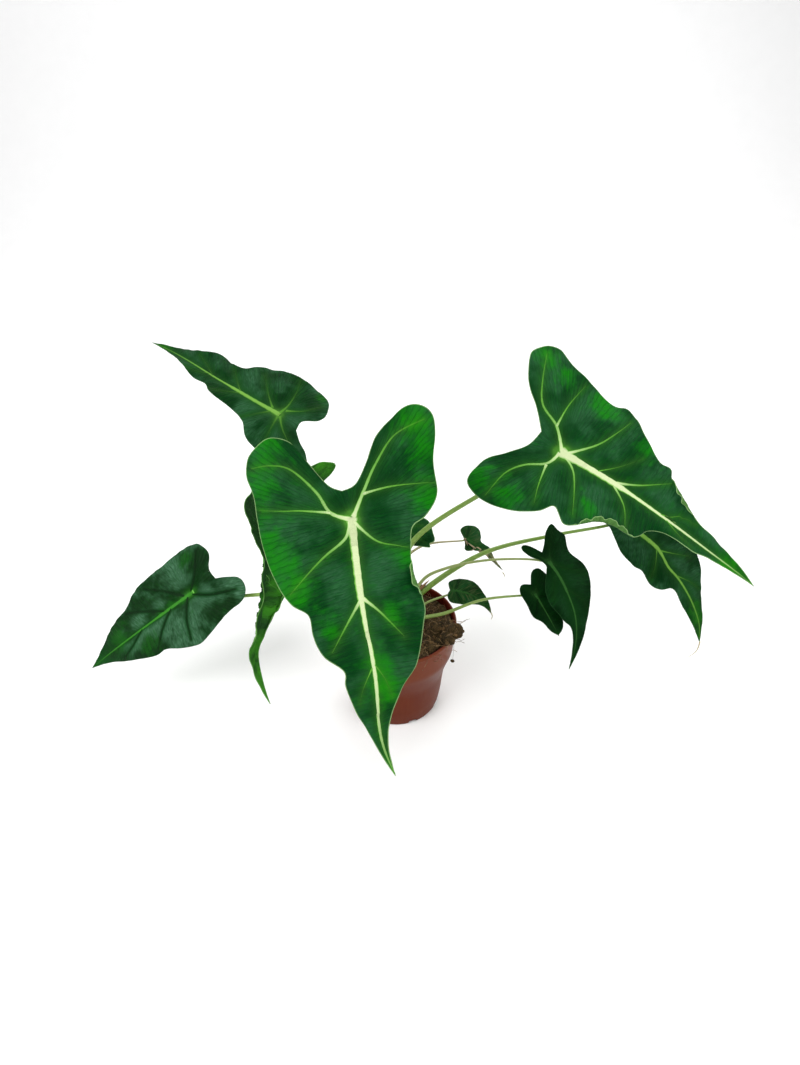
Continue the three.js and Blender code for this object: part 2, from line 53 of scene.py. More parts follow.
# %% [markdown]
# ## The camera
#
# The plant is looked down on from a little above its leaves, from in front. A tall picture is
# easiest to reason about when the lens is measured on its long side, so the sensor fits upright.

# %% Camera
CAMERA_PLACE = (0.003, -0.355, 0.413)  # metres
TILT = 54.4  # degrees up from looking straight down
SENSOR = 36  # mm
LENS = 21.97  # mm


def show(data):
    """Puts a mesh, lamp or camera in the scene as an object of the same name."""
    made = bpy.data.objects.new(data.name, data)
    bpy.context.scene.collection.objects.link(made)
    return made


camera = show(bpy.data.cameras.new("camera"))
camera.location = CAMERA_PLACE
camera.rotation_euler = (math.radians(TILT), 0, 0)
camera.data.sensor_fit = "VERTICAL"
camera.data.sensor_height = SENSOR
camera.data.lens = LENS
camera.data.clip_start = 0.01
bpy.context.scene.camera = camera
bpy.context.scene.view_settings.view_transform = "Standard"
print("lens", LENS, "mm, looking down", 90 - TILT, "degrees")

# %% [markdown]
# ## A bench for node trees
#
# Both the shaders and the Geometry Nodes below are trees of nodes. A short helper that adds one
# node and fills or links its sockets in the same breath keeps each tree readable: what it returns
# is the node's output, so that one call can be written inside the next.


# %% Bench
def is_socket(value):
    return isinstance(value, bpy.types.NodeSocket)


class Bench:
    """A node tree that is being built."""

    def __init__(self, tree):
        self.tree = tree

    def fill(self, node, inputs):
        for key, value in inputs.items():
            if is_socket(value):
                self.tree.links.new(value, node.inputs[key])
            else:
                node.inputs[key].default_value = value

    def add(self, kind, inputs=(), out=0, **settings):
        """Adds a node, fills its sockets, and returns its output (or the node, for out=None)."""
        made = self.tree.nodes.new(kind)
        for key, value in settings.items():
            setattr(made, key, value)
        self.fill(made, dict(inputs))
        return made if out is None else made.outputs[out]

    def math(self, operation, first, second=0.0, clamp=False):
        inputs = {0: first, 1: second}
        return self.add("ShaderNodeMath", inputs, operation=operation, use_clamp=clamp)

    def times(self, first, second):
        return self.math("MULTIPLY", first, second)

    def plus(self, first, second, clamp=False):
        return self.math("ADD", first, second, clamp)

    def minus(self, first, second):
        return self.math("SUBTRACT", first, second)

    def vector(self, operation, first, second):
        return self.add("ShaderNodeVectorMath", {0: first, 1: second}, operation=operation)

    def scaled(self, vector, amount):
        return self.add("ShaderNodeVectorMath", {0: vector, "Scale": amount}, operation="SCALE")

    def split(self, vector):
        return self.add("ShaderNodeSeparateXYZ", {0: vector}, out=None).outputs

    def noise(self, vector, scale, detail=3.0, roughness=0.55):
        inputs = {"Vector": vector, "Scale": scale, "Detail": detail, "Roughness": roughness}
        return self.add("ShaderNodeTexNoise", inputs)


print("a bench for node trees is ready")

# %% [markdown]
# ## Materials
#
# Every finish here is one shader whose colour is mixed step by step: a base, then streaks, specks
# or wear laid over it by a pattern. A colour is written as the sRGB value that a paint chart would
# give, and turned into linear light once, because that is what a socket holds.


# %% Paint
def rgb(red, green, blue):
    """An sRGB colour, 0 to 255, as the linear value that a socket holds."""
    values = [c / 255 for c in (red, green, blue)]
    linear = [c / 12.92 if c <= 0.04045 else ((c + 0.055) / 1.055) ** 2.4 for c in values]
    return (*linear, 1.0)


class Paint(Bench):
    """A new material's tree, with a shader that leads to its output."""

    def __init__(self, name):
        self.material = bpy.data.materials.new(name)
        self.material.use_nodes = True
        super().__init__(self.material.node_tree)
        self.tree.nodes.clear()
        self.shader = self.add("ShaderNodeBsdfPrincipled", out=None)
        self.add("ShaderNodeOutputMaterial", {"Surface": self.shader.outputs[0]}, out=None)

    def mix(self, share, *colours):
        """The second colour over the first; each is a socket or three sRGB values."""
        first, second = (c if is_socket(c) else rgb(*c) for c in colours)
        return self.add("ShaderNodeMix", {0: share, 6: first, 7: second}, out=2, data_type="RGBA")

    def step(self, value, low, high, start=0.0, end=1.0):
        """A smooth step of value between low and high."""
        inputs = {"Value": value, "From Min": low, "From Max": high, "To Min": start, "To Max": end}
        return self.add("ShaderNodeMapRange", inputs, interpolation_type="SMOOTHSTEP")

    def attribute(self, name, out="Fac"):
        return self.add("ShaderNodeAttribute", out=out, attribute_name=name)

    def place(self):
        return self.add("ShaderNodeTexCoord", out="Object")

    def stretched(self, vector, *scale):
        return self.add("ShaderNodeMapping", {"Vector": vector, "Scale": scale})

    def bump(self, height, strength, distance):
        inputs = {"Height": height, "Strength": strength, "Distance": distance}
        return self.add("ShaderNodeBump", inputs)

    def coat(self, colour, roughness, **inputs):
        """Fills the shader; an underscore in a name stands for a blank. Returns the material."""
        inputs = {key.replace("_", " "): value for key, value in inputs.items()}
        self.fill(self.shader, {"Base Color": colour, "Roughness": roughness, **inputs})
        return self.material


print("mid grey in linear light:", round(rgb(128, 128, 128)[0], 3))

# %% [markdown]
# ## Floor and light
#
# A plant is best shown as a garden centre would: on a pale seamless sweep, in wide soft light.
# One sheet bent up behind the plant has no corner to see, and large lamps give soft shadows and
# broad, quiet reflections on the leaves.


# %% Floor sweep
def new_mesh(name, points, faces, edges=(), smooth=True, scale=MM):
    """A mesh whose points are given in millimetres, or in metres for a scale of 1."""
    mesh = bpy.data.meshes.new(name)
    mesh.from_pydata((np.array(points, float) * scale).tolist(), list(edges), faces)
    mesh.polygons.foreach_set("use_smooth", [smooth] * len(faces))
    return mesh


def wear(piece, material):
    """Gives a piece this material and no other."""
    piece.data.materials.clear()
    piece.data.materials.append(material)


def floor_sweep(half_width=1.6, front=-1.4, back=0.9, radius=0.7, height=1.6, steps=16):
    profile = [(front, 0.0)]
    for i in range(steps + 1):
        angle = 0.5 * math.pi * i / steps
        profile.append((back + radius * math.sin(angle), radius * (1 - math.cos(angle))))
    profile.append((back + radius, height))
    points = [(x, y, z) for y, z in profile for x in (-half_width, half_width)]
    faces = [(2 * i, 2 * i + 1, 2 * i + 3, 2 * i + 2) for i in range(len(profile) - 1)]
    return show(new_mesh("floor_sweep", points, faces, scale=1))


floor = floor_sweep()
bench = Paint("white_paper")
grain = bench.noise(bench.place(), 30.0)
wear(floor, bench.coat(bench.mix(grain, (246, 246, 246), (250, 250, 250)), 0.9))
print("floor:", len(floor.data.polygons), "faces")

# %% [markdown]
# Three large lamps do the work of the shop's windows, and an even white light from all round
# fills the shadows between the leaves.

# %% Soft lamps
LAMPS = [  # name, place and size in metres, power in watts
    ("lamp_left", (-0.9, -0.7, 1.3), 1.0, 20),
    ("lamp_right", (1.1, -0.3, 0.9), 0.9, 8),
    ("lamp_back", (0.2, 0.9, 1.3), 1.0, 10),
]
AIM = Vector((0, 0, 0.12))  # the middle of the plant
SKY = 0.52  # strength of the light from all round

for name, place, size, power in LAMPS:
    lamp = show(bpy.data.lights.new(name, "AREA"))
    lamp.location = place
    lamp.rotation_euler = (AIM - Vector(place)).to_track_quat("-Z", "Y").to_euler()
    lamp.data.size = size
    lamp.data.energy = power

world = bpy.data.worlds.new("studio")
bpy.context.scene.world = world
world.use_nodes = True
background = world.node_tree.nodes["Background"].inputs
background["Color"].default_value = (1, 1, 1, 1)
background["Strength"].default_value = SKY
print("lamps:", ", ".join(name for name, *_ in LAMPS))

# %% [markdown]
# ## What each leaf is
#
# Every leaf is an arrowhead: a tip, two back lobes and a margin that waves. The table repeats the
# sizes of the solids in millimetres, so that the fine leaf lies exactly on its plain one, and adds
# what only the eye asks for. left and right are the two halves of the outline in the flat leaf, as
# (u along the midrib, v away from it). veins lists the main veins as (width, how pale it starts,
# points), with v to the left. glow lists the places where a painted glow stands for light that
# comes through thinner tissue, as (u, v, radius), and tucks the pinches beside the stalk, as (u, v,
# radius, depth). curls are stretches of margin that roll over: side, from and to along the margin,
# width, degrees of roll. taper is how much faster than usual the midrib thins, valley how far
# beside a vein the tissue keeps its own green, and bare the share of the midrib past which no
# painted grey-green sheen lies on it. fan, rib and columns count the rows and columns of the grid,
# thick is the blade's own thickness and solid that of its plain solid.

# %% Leaf sizes
VALLEY = 4  # mm
PLAIN = dict(  # what a leaf has unless its own row says otherwise
    lobe=0, sweep=0, hook=0, drop=0, taper=1, valley=VALLEY, bare=1, glow=(), curls=(), tucks=(),
)
LARGE = dict(
    PLAIN, fan=84, rib=150, columns=36, thick=0.75, solid=0.8, ridge=1.6, arrival=8,
    ripple=0.55, relief=1, arch=5, fold=(3, 3), fold_tip=(12, 12), cup=3, shoulder=0.46,
    skin="grown",
)
SMALL = dict(
    PLAIN, fan=34, rib=60, columns=16, thick=0.7, solid=0.7, ridge=0.8, arrival=3.5,
    ripple=0.2, relief=0.45, arch=1, fold=(-2, -2), fold_tip=(4, 4), cup=1.5,
    wave=((0.4, 2, 0.2), (0.4, 2, 0.5)), shoulder=0.45, skin="young",
)

LEAVES = [
    dict(
        LARGE, name="front", junction=(-23, -66, 215), tip=(-5, -149, 104), roll=9, half=48,
        cup=4, lobe=10, sweep=1, hook=6, wave=((1.6, 4.5, 0.1), (1.6, 5, 0.4)), base=(-3, -9),
        via=[(-6, -13, 105), (-13, -34, 178)], radii=(3.4, 1.7),
        left=[
            (-16, -3), (-19, 5), (-31, 13), (-44, 20), (-56, 34), (-59, 44), (-54, 52), (-44, 53),
            (-25, 49), (-8, 48), (3, 40), (9, 31), (20, 29), (34, 28), (50, 32), (60, 30),
            (80, 24), (92, 15), (108, 6), (123, 1.5), (140, 0),
        ],
        right=[
            (-16, 3), (-20, 10), (-32, 18), (-45, 26), (-50, 36), (-48, 44), (-41, 52), (-31, 54),
            (-18, 51), (9, 50), (28, 45), (41, 38), (48, 30), (59, 29), (70, 25), (79, 15),
            (87, 15), (100, 12), (117, 6), (140, 0),
        ],
        veins=[
            (4.7, 1.0, [(-1, 0), (44, -1), (86, 1), (119, -1), (138, 0)]),
            (3.0, 0.95, [(0, -1), (-5, -11), (-17, -17), (-31, -29), (-35, -40), (-35, -51)]),
            (1.8, 0.75, [(-5, -11), (-8, -27), (-9, -36), (-11, -49)]),
            (2.6, 0.9, [(1, -1), (10, -5), (18, -17), (26, -27), (36, -38)]),
            (2.9, 0.9, [(-1, 1), (-15, 9), (-28, 17), (-43, 30), (-50, 48)]),
            (1.8, 0.75, [(-13, 8), (-15, 23), (-15, 40), (-14, 48)]),
            (2.3, 0.85, [(2, 1), (13, 11), (17, 21), (19, 28)]),
            (2.3, 0.85, [(43, -1), (55, -10), (69, -20)]),
            (2.3, 0.85, [(43, 0), (51, 8), (65, 19)]),
            (0.8, 0.3, [(76, 0), (86, 6), (96, 9)]),
            (0.8, 0.3, [(80, 0), (90, -6), (98, -9)]),
        ],
        glow=[
            (-45, -42, 12), (-23, -47, 11), (7, -47, 13), (23, -40, 11), (37, -33, 9),
            (-52, 42, 13), (-33, 47, 12), (-7, 41, 10), (56, -20, 8), (52, 15, 7), (79, 5, 9),
            (93, 8, 9), (25, 25, 8),
        ],
        curls=[("left", 0.57, 0.65, 5.6, 165), ("left", 0.48, 0.56, 3, 120)],
        tucks=[(-9, 37, 5, 3), (-2, 34, 3, 1.5)],
    ),
    dict(
        LARGE, name="right", junction=(104, 3, 218), tip=(222, -48, 152), roll=38, half=45, cup=4,
        lobe=8, sweep=3, wave=((2, 5, 0.3), (2.2, 5, 0.1)), taper=1.5, base=(-5, 3),
        via=[(-1, 7, 108), (12, 11, 143), (52, 4, 184), (84, 2, 205)], radii=(2.8, 1.3),
        left=[
            (-18, 6), (-29, 19), (-42, 32), (-51, 48), (-51, 56), (-45, 65), (-37, 67), (-25, 59),
            (-5, 50), (11, 46), (19, 48), (27, 44), (37, 35), (52, 27), (61, 27), (66, 21),
            (74, 15), (90, 8), (106, 7), (125, 4), (144, 0),
        ],
        right=[
            (-18, -6), (-20, 6), (-28, 17), (-37, 28), (-39, 44), (-32, 50), (-20, 51), (-3, 47),
            (8, 41), (14, 34), (24, 40), (30, 37), (40, 28), (50, 26), (63, 25), (70, 15),
            (80, 10), (98, 10), (112, 6), (126, 3), (144, 0),
        ],
        veins=[
            (4.7, 1.0, [(-1, 0), (40, -1), (72, -2), (107, -2), (142, 0)]),
            (2.9, 0.9, [(0, 0), (-12, 14), (-27, 23), (-36, 39), (-43, 58)]),
            (1.7, 0.65, [(-12, 14), (-13, 31), (-11, 48)]),
            (2.6, 0.9, [(-1, -1), (-4, -11), (-15, -19), (-22, -30), (-24, -48)]),
            (1.7, 0.7, [(-4, -12), (-1, -26), (3, -38)]),
            (2.0, 0.8, [(2, -1), (13, -9), (26, -32)]),
            (2.4, 0.85, [(3, 1), (15, 15), (21, 28), (25, 40)]),
            (2.1, 0.8, [(38, 0), (51, 7), (66, 19)]),
            (2.0, 0.8, [(35, -1), (48, -10), (56, -21)]),
            (0.8, 0.3, [(24, 0), (34, 10), (43, 22)]),
            (0.8, 0.3, [(70, -2), (82, 3), (92, 6)]),
            (0.8, 0.3, [(74, -2), (86, -6), (96, -8)]),
        ],
        glow=[
            (-25, 49, 9), (3, 43, 9), (-44, 58, 10), (-35, -40, 12), (-11, -42, 10), (43, 28, 8),
            (11, 42, 9), (30, -24, 7), (124, -2, 12),
        ],
        curls=[("left", 0.7, 0.8, 5, 150), ("right", 0.5, 0.67, 5.6, 160)],
    ),
    dict(
        LARGE, name="back_left", junction=(-81, 59, 218), tip=(-192, 148, 237), roll=-18, half=33,
        arch=6, fold_tip=(10, 10), wave=((1.6, 5, 0.2), (1.6, 5, 0.6)), shoulder=0.42,
        skin="shaded", taper=1.4, base=(-10, 8),
        via=[(-20, 12, 105), (-48, 18, 157), (-69, 35, 196)], radii=(3, 1.3),
        left=[
            (-19, 3), (-28, 9), (-38, 14), (-45, 22), (-41, 30), (-28, 33), (-8, 31), (3, 29),
            (14, 21), (32, 17), (50, 17), (60, 13), (77, 12), (96, 7), (116, 3), (143, 0),
        ],
        right=[
            (-19, -3), (-17, 5), (-25, 13), (-26, 20), (-19, 30), (-8, 34), (9, 34), (26, 32),
            (40, 24), (47, 15), (58, 14), (75, 16), (90, 10), (104, 8), (120, 3), (143, 0),
        ],
        veins=[
            (2.7, 0.56, [(-1, 0), (20, 2), (46, 3), (68, 3), (108, 1), (140, 0)]),
            (1.9, 0.3, [(0, -1), (0, -10), (4, -23), (9, -32)]),
            (1.6, 0.28, [(-2, -5), (-12, -13), (-18, -24)]),
            (1.5, 0.24, [(7, -1), (19, -9), (33, -20)]),
            (1.7, 0.26, [(-2, 1), (-11, 8), (-24, 15), (-37, 23)]),
            (1.4, 0.22, [(-1, 2), (-8, 21), (-12, 28)]),
            (1.3, 0.2, [(6, 2), (12, 11), (18, 20)]),
            (1.2, 0.18, [(34, 3), (44, 9), (54, 15)]),
            (1.2, 0.18, [(36, 2), (47, -5), (56, -11)]),
            (0.8, 0.15, [(68, 3), (80, 7), (90, 8)]),
            (0.8, 0.15, [(64, 3), (78, -3), (90, -7)]),
        ],
        glow=[(-12, -32, 7), (128, -2, 12)],
    ),
    dict(
        LARGE, name="low_left", junction=(-152, 9, 97), tip=(-234, -9, 37), roll=-35, half=35,
        arch=4, fold_tip=(10, 10), lobe=6, wave=((1.3, 4, 0.2), (1.3, 4, 0.5)), shoulder=0.42,
        skin="bloomed", valley=1.6, bare=0.5, base=(-12, 0),
        via=[(-24, 2, 94), (-58, 8, 101), (-99, 8, 97), (-134, 14, 89)], radii=(2.6, 1.2),
        left=[
            (-22, 1), (-30, 5), (-38, 11), (-39, 19), (-33, 27), (-15, 30), (0, 34), (10, 37),
            (22, 33), (35, 26), (46, 25), (67, 16), (84, 7), (103, 0),
        ],
        right=[
            (-22, -1), (-21, 8), (-26, 19), (-23, 29), (-17, 33), (-4, 35), (14, 31), (38, 29),
            (51, 19), (71, 15), (88, 5), (103, 0),
        ],
        veins=[
            (2.3, 0.36, [(-2, 0), (28, 1), (59, 1), (101, 0)]),
            (3.2, 0.95, [(-3, 0), (1, 0), (5, 0)]),
            (0.9, 0.02, [(-1, 1), (-14, 10), (-32, 17)]),
            (0.9, 0.02, [(-1, -1), (-11, -13), (-18, -27)]),
            (0.9, 0.02, [(3, 1), (10, 15), (14, 31)]),
            (0.9, 0.02, [(5, -1), (17, -13), (32, -25)]),
            (0.8, 0.02, [(18, 1), (30, 11), (40, 22)]),
            (0.8, 0.02, [(24, 0), (40, -10), (52, -16)]),
            (0.7, 0.02, [(46, 1), (58, 8), (68, 12)]),
        ],
        glow=[(7, 0, 5), (17, 0, 4), (27, 0, 3.5), (66, -4, 11), (44, 15, 9), (-8, -26, 8)],
    ),
    dict(
        LARGE, name="left", junction=(-80, -34, 183), tip=(-98.5, -78, 101.5), roll=110, half=40,
        arch=-9, fold=(-24, -18), fold_tip=(-30, -30), lobe=-62, sweep=-2, drop=29,
        wave=((1.6, 7, 0.2), (1.4, 5, 0.5)), skin="turned", base=(-10, -7),
        via=[(-17, -10, 104), (-42, -25, 160)], radii=(3, 1.4),
        left=[
            (-14, 3), (-24, 7), (-33, 10), (-38, 13), (-35, 16), (-27, 15), (-20, 19), (-14, 21),
            (-7, 19), (2, 12), (10, 7), (20, 3.5), (36, 3), (52, 3.5), (66, 4.5), (80, 4.5),
            (90, 2.6), (97.5, 0),
        ],
        right=[
            (-14, -3), (-23, 8), (-36, 20), (-47, 30), (-49.5, 37), (-48, 41.5), (-42, 41),
            (-30, 35), (-15, 30), (8, 27), (24, 19), (38, 12), (52, 7), (68, 3.5), (84, 3),
            (97.5, 0),
        ],
        veins=[
            (3.2, 0.5, [(-1, 0), (40, 0), (80, 0), (95, 0)]),
            (1.3, 0.3, [(-1, 1), (-14, 5), (-30, 11)]),
            (1.4, 0.3, [(-1, -1), (-20, -15), (-40, -34)]),
            (1.0, 0.25, [(2, -1), (6, -14), (12, -22)]),
            (1.0, 0.25, [(-3, 3), (-8, 10), (-12, 17)]),
            (0.9, 0.25, [(22, -1), (34, -7), (42, -8)]),
        ],
        glow=[(92, 0, 18), (66, 0, 8), (46, -6, 8), (30, -10, 8), (12, -16, 7), (-46, -36, 10)],
        curls=[("right", 0.5, 0.84, 5, -160)],
    ),
    dict(
        LARGE, name="lower_right", junction=(168, 32, 146), tip=(228, -6, 62), roll=30, half=33,
        arch=3, fold=(3, -12), fold_tip=(6, -6), lobe=4, sweep=9,
        wave=((1.4, 4, 0.2), (1.2, 4, 0.5)), shoulder=0.44, skin="shaded", base=(3.5, 8.5),
        via=[(20, 16, 93), (65, 28, 120), (115, 31, 134), (150, 36, 138)], radii=(2.8, 1.1),
        left=[
            (-14, 0), (-24, 7), (-36, 13), (-43, 22), (-38, 31), (-24, 34), (-6, 35), (12, 34),
            (30, 31), (53, 25), (74, 14.5), (92, 9), (110, 0),
        ],
        right=[
            (-14, 0), (-20, 5), (-26, 9), (-28, 13), (-22, 15), (-12, 13), (-4, 12), (6, 16),
            (17, 21), (30, 21), (38, 18), (50, 19), (57, 15), (62, 7), (78, 5), (94, 3), (110, 0),
        ],
        veins=[
            (3.0, 0.6, [(-1, 0), (12, -1), (30, 1), (46, -1), (59, 1), (82, 3), (98, 3), (108, 0)]),
            (1.3, 0.4, [(32, 1), (41, 9), (50, 18)]),
            (1.3, 0.35, [(-1, 1), (-18, 12), (-35, 22)]),
            (1.1, 0.3, [(1, 1), (5, 16), (8, 30)]),
            (1.0, 0.3, [(-1, -1), (-14, -6), (-24, -12)]),
            (1.0, 0.3, [(30, 0), (40, -9), (46, -17)]),
            (0.9, 0.3, [(56, 1), (66, 8), (74, 12)]),
        ],
        glow=[(92, 4, 12)],
    ),
]
print("large leaves:", ", ".join(leaf["name"] for leaf in LEAVES))

# %% [markdown]
# The young leaves stand low, in the middle, behind and to the right. They are small enough for a
# coarser grid, and have fewer veins.

# %% Young leaf sizes
LEAVES += [
    dict(
        SMALL, name="young_right", junction=(107, 3, 132), tip=(122, -39, 68), roll=2, half=22,
        cup=2, fold=(2, -8), sweep=11, wave=((0.6, 3, 0.2), (0.8, 3, 0.5)), shoulder=0.42,
        base=(7.5, 2.5), via=[(20, 9, 110.5), (36, 10, 120), (64, 11, 126.5), (95, 9, 129)],
        radii=(1.6, 0.8),
        left=[
            (-7, 0.5), (-12, 6), (-20, 14), (-25, 23), (-20, 24), (-15, 25.5), (-8, 21), (-2, 19),
            (6, 22.5), (13, 23), (22, 20), (35, 14), (46, 10), (58, 7), (68, 3.5), (78, 0),
        ],
        right=[
            (-7, -0.5), (-13, 4), (-14.5, 8), (-11.5, 10.5), (-6, 9), (-2, 5), (3, 4), (8, 7),
            (14, 11), (21, 14.5), (30, 15), (38, 11), (44, 7.5), (49, 3), (56, 1.5), (66, 1),
            (78, 0),
        ],
        veins=[
            (1.8, 0.3, [(0, 0), (14, 0), (27, 0), (43, 1), (60, 1), (76, 0)]),
            (0.9, 0.15, [(0, 1), (-11, 9), (-20, 19)]),
            (0.8, 0.15, [(0, -1), (-7, -5), (-12, -8)]),
            (0.7, 0.12, [(3, 1), (10, 12), (14, 20)]),
            (0.7, 0.12, [(8, 0), (18, -7), (26, -12)]),
            (0.7, 0.12, [(22, 0), (32, 9), (40, 11)]),
        ],
    ),
    dict(
        SMALL, name="young_right_low", junction=(99, -5, 109), tip=(116, -22, 84), roll=18,
        half=15, base=(9, -5), via=[(18, -7, 87), (34, -9, 93.5), (62, -8, 106)],
        radii=(1.8, 0.8),
        left=[(-7, 1), (-14, 7), (-13, 14), (-4, 17), (10, 15), (22, 11), (31, 6), (34, 0)],
        right=[(-7, -1), (-10, 5), (-6, 9), (3, 9.5), (13, 10), (20, 6), (28, 4), (34, 0)],
        veins=[
            (1.4, 0.28, [(0, 0), (16, 0), (32, 0)]),
            (0.7, 0.12, [(0, 1), (-6, 6), (-11, 12)]),
            (0.7, 0.12, [(0, -1), (-5, -3), (-8, -6)]),
            (0.6, 0.1, [(3, 0), (6, 8), (8, 13)]),
            (0.6, 0.1, [(4, 0), (10, -5), (13, -8)]),
        ],
    ),
    dict(
        SMALL, name="young_rim", junction=(42, 9, 100), tip=(70, -2, 87), roll=30, half=13,
        arch=2, sweep=4, skin="blushed", base=(13, 1.5), via=[(21, 5, 90)], radii=(1.5, 0.7),
        left=[(-2, 0), (-5.5, 7), (-2, 10.5), (4, 11), (11, 10), (20, 6.5), (27, 4), (33, 0)],
        right=[(-2, 0), (-2, 3), (0, 7), (4, 10), (12, 9), (17, 6), (22, 3), (27, 1.2), (33, 0)],
        veins=[
            (1.2, 0.25, [(0, 0), (16, 0), (31, 0)]),
            (0.6, 0.1, [(1, 0), (1, 5), (0, 9)]),
            (0.6, 0.1, [(2, 0), (6, -5), (9, -8)]),
            (0.6, 0.1, [(6, 0), (12, 5), (15, 7)]),
        ],
    ),
    dict(
        SMALL, name="young_back", junction=(53, 44, 122), tip=(81.5, 31, 98.5), roll=30, half=11,
        arch=2, cup=1, fold=(2, 2), fold_tip=(8, 8), sweep=2, hook=3, drop=3,
        wave=((0.8, 3, 0.2), (0.8, 3, 0.5)), skin="blushed", base=(-2, 13.5),
        via=[(3, 28, 108), (20, 41, 117)], radii=(2.2, 0.65),
        left=[
            (-2, 0), (-7, 4), (-6, 9.5), (-1, 12.5), (4, 11.5), (8, 8), (11, 4.5), (18, 4.5),
            (22, 3), (30, 1.5), (37.5, 0),
        ],
        right=[
            (-2, 0), (2, 4), (3.5, 7.5), (6.5, 8.5), (9, 6), (10.5, 3.5), (15, 3.5), (20, 2),
            (29, 1), (37.5, 0),
        ],
        veins=[
            (1.2, 0.22, [(0, 0), (18, 0), (35, 0)]),
            (0.6, 0.1, [(0, 1), (-2, 6), (-3, 10)]),
            (0.6, 0.1, [(1, 0), (4, -4), (6, -7)]),
        ],
        glow=[(20, -2, 5), (28, 0, 6), (36, 0, 7)],
        curls=[("right", 0.3, 0.68, 5.4, 165)],
    ),
    dict(
        SMALL, name="young_centre", junction=(9, 28, 145), tip=(-3, 16, 127), roll=0, half=18,
        fold=(2, 2), wave=((0.6, 3, 0.2), (0.6, 3, 0.5)), skin="grown", base=(4.5, 14),
        via=[(5, 22, 105)], radii=(1.7, 0.9),
        left=[
            (-5, 0), (-10, 7), (-9, 14), (-5, 19.5), (0, 24.5), (3.5, 22.5), (6, 24), (9, 17),
            (13, 8), (18, 4), (24.5, 0),
        ],
        right=[(-5, 0), (-11, 7), (-8, 13), (-1, 15), (6, 13), (13, 8), (19, 4), (24.5, 0)],
        veins=[
            (1.2, 0.3, [(0, 0), (12, 0), (22, 0)]),
            (0.7, 0.12, [(0, 1), (-4, 8), (-5, 15)]),
            (0.7, 0.12, [(0, -1), (-5, -6), (-8, -10)]),
            (0.6, 0.12, [(3, 0), (4, 10), (5, 19)]),
        ],
        glow=[(20, 0, 8)],
    ),
]
print("leaves in all:", len(LEAVES), "with", sum(len(leaf["veins"]) for leaf in LEAVES), "veins")

# %% [markdown]
# ## The shape of a leaf
#
# A leaf could be sculpted, or cut from a subdivided plane. Here its form follows a rule: a flat
# outline is bent by a few named amounts, namely the bow of the midrib, the fold of each half, the
# droop and the waves of the margin. One function lays any point of the flat leaf in space. numpy
# works on all points of a leaf at once, so even a fine leaf takes a fraction of a second.


# %% Bend the flat leaf into space
def unit(vectors):
    return vectors / np.maximum(np.linalg.norm(vectors, axis=-1, keepdims=True), 1e-12)


def turned(vector, axis, angle):
    return vector * math.cos(angle) + np.cross(axis, vector) * math.sin(angle)


def leaf_axes(leaf):
    """The leaf's own axes: its length, along the midrib, to its left, and up out of its face."""
    run = np.subtract(leaf["tip"], leaf["junction"]).astype(float)
    length = np.linalg.norm(run)
    along = run / length
    level = unit(np.cross((0, 0, 1.0), along))
    left = turned(level, along, math.radians(leaf["roll"]))
    return length, along, left, np.cross(along, left)


def lay(leaf, u, v, reach, t):
    """Points of the upper face, in millimetres, for points (u, v) of the flat leaf."""
    length, along, left, up = leaf_axes(leaf)
    k = u / length
    on_left = v >= 0
    bow = 4 * k * np.where(k > 0, 1 - k, 1)
    last_third = np.maximum(0, (k - 0.7) / 0.3) ** 2
    fold_start = np.where(on_left, *leaf["fold"])
    fold_end = np.where(on_left, *leaf["fold_tip"])
    fold = np.radians(fold_start + (fold_end - fold_start) * np.clip(k, 0, 1))
    height, waves, phase = (np.where(on_left, a, b) for a, b in zip(*leaf["wave"]))
    fade = np.minimum(1, np.minimum(5 * t, 5 * (1 - t)))
    ripple = height * fade * reach**3 * np.sin(2 * np.pi * (waves * t + phase))
    back_lobe = np.where(k < 0, leaf["lobe"] * k * k, 0)
    droop = leaf["cup"] * (v / leaf["half"]) ** 2 + leaf["drop"] * last_third
    rise = leaf["arch"] * bow + back_lobe + np.abs(v) * np.sin(fold) - droop + ripple
    across = leaf["sweep"] * bow + leaf["hook"] * last_third + v * np.cos(fold)
    place = np.array(leaf["junction"], float)
    return place + u[..., None] * along + across[..., None] * left + rise[..., None] * up


def smooth_line(points, each=24):
    """A uniform Catmull-Rom line through the points, its ends held."""
    p = np.array(points, float)
    p = np.vstack([p[:1], p, p[-1:]])
    t = np.linspace(0, 1, each, endpoint=False)[:, None]
    spans = []
    for a, b, c, d in zip(p, p[1:], p[2:], p[3:]):
        spans.append(
            b + 0.5 * t * (c - a + t * (2 * a - 5 * b + 4 * c - d + t * (3 * (b - c) + d - a)))
        )
    return np.vstack([*spans, p[-1:]])


def shares_along(line):
    """The share of a line's length passed at each of its points, and that length."""
    steps = np.linalg.norm(np.diff(line, axis=0), axis=1)
    passed = np.concatenate([[0], np.cumsum(steps)])
    return passed / passed[-1], passed[-1]


def at_shares(line, shares):
    passed, _ = shares_along(line)
    return np.stack([np.interp(shares, passed, line[:, i]) for i in range(line.shape[1])], -1)


longest = max(LEAVES, key=lambda leaf: leaf_axes(leaf)[0])
print("longest midrib:", longest["name"], round(leaf_axes(longest)[0]), "mm")

# %% [markdown]
# ## The grid of a leaf
#
# Real leaf tissue is organised in rows: fine veins leave the midrib, fan round the stalk into the
# back lobes, and step down towards the tip. The grid follows them, which gives two things for
# nothing: clean quads that flow with the leaf, and a coordinate, kept as the attribute "plan",
# along which the shader can draw the fine striation.


# %% Rows and columns of one leaf
def column_shares(count):
    """From midrib to margin, closer together at both."""
    even = np.linspace(0, 1, count + 1)
    return 0.35 * even + 0.65 * (0.5 - 0.5 * np.cos(math.pi * even))


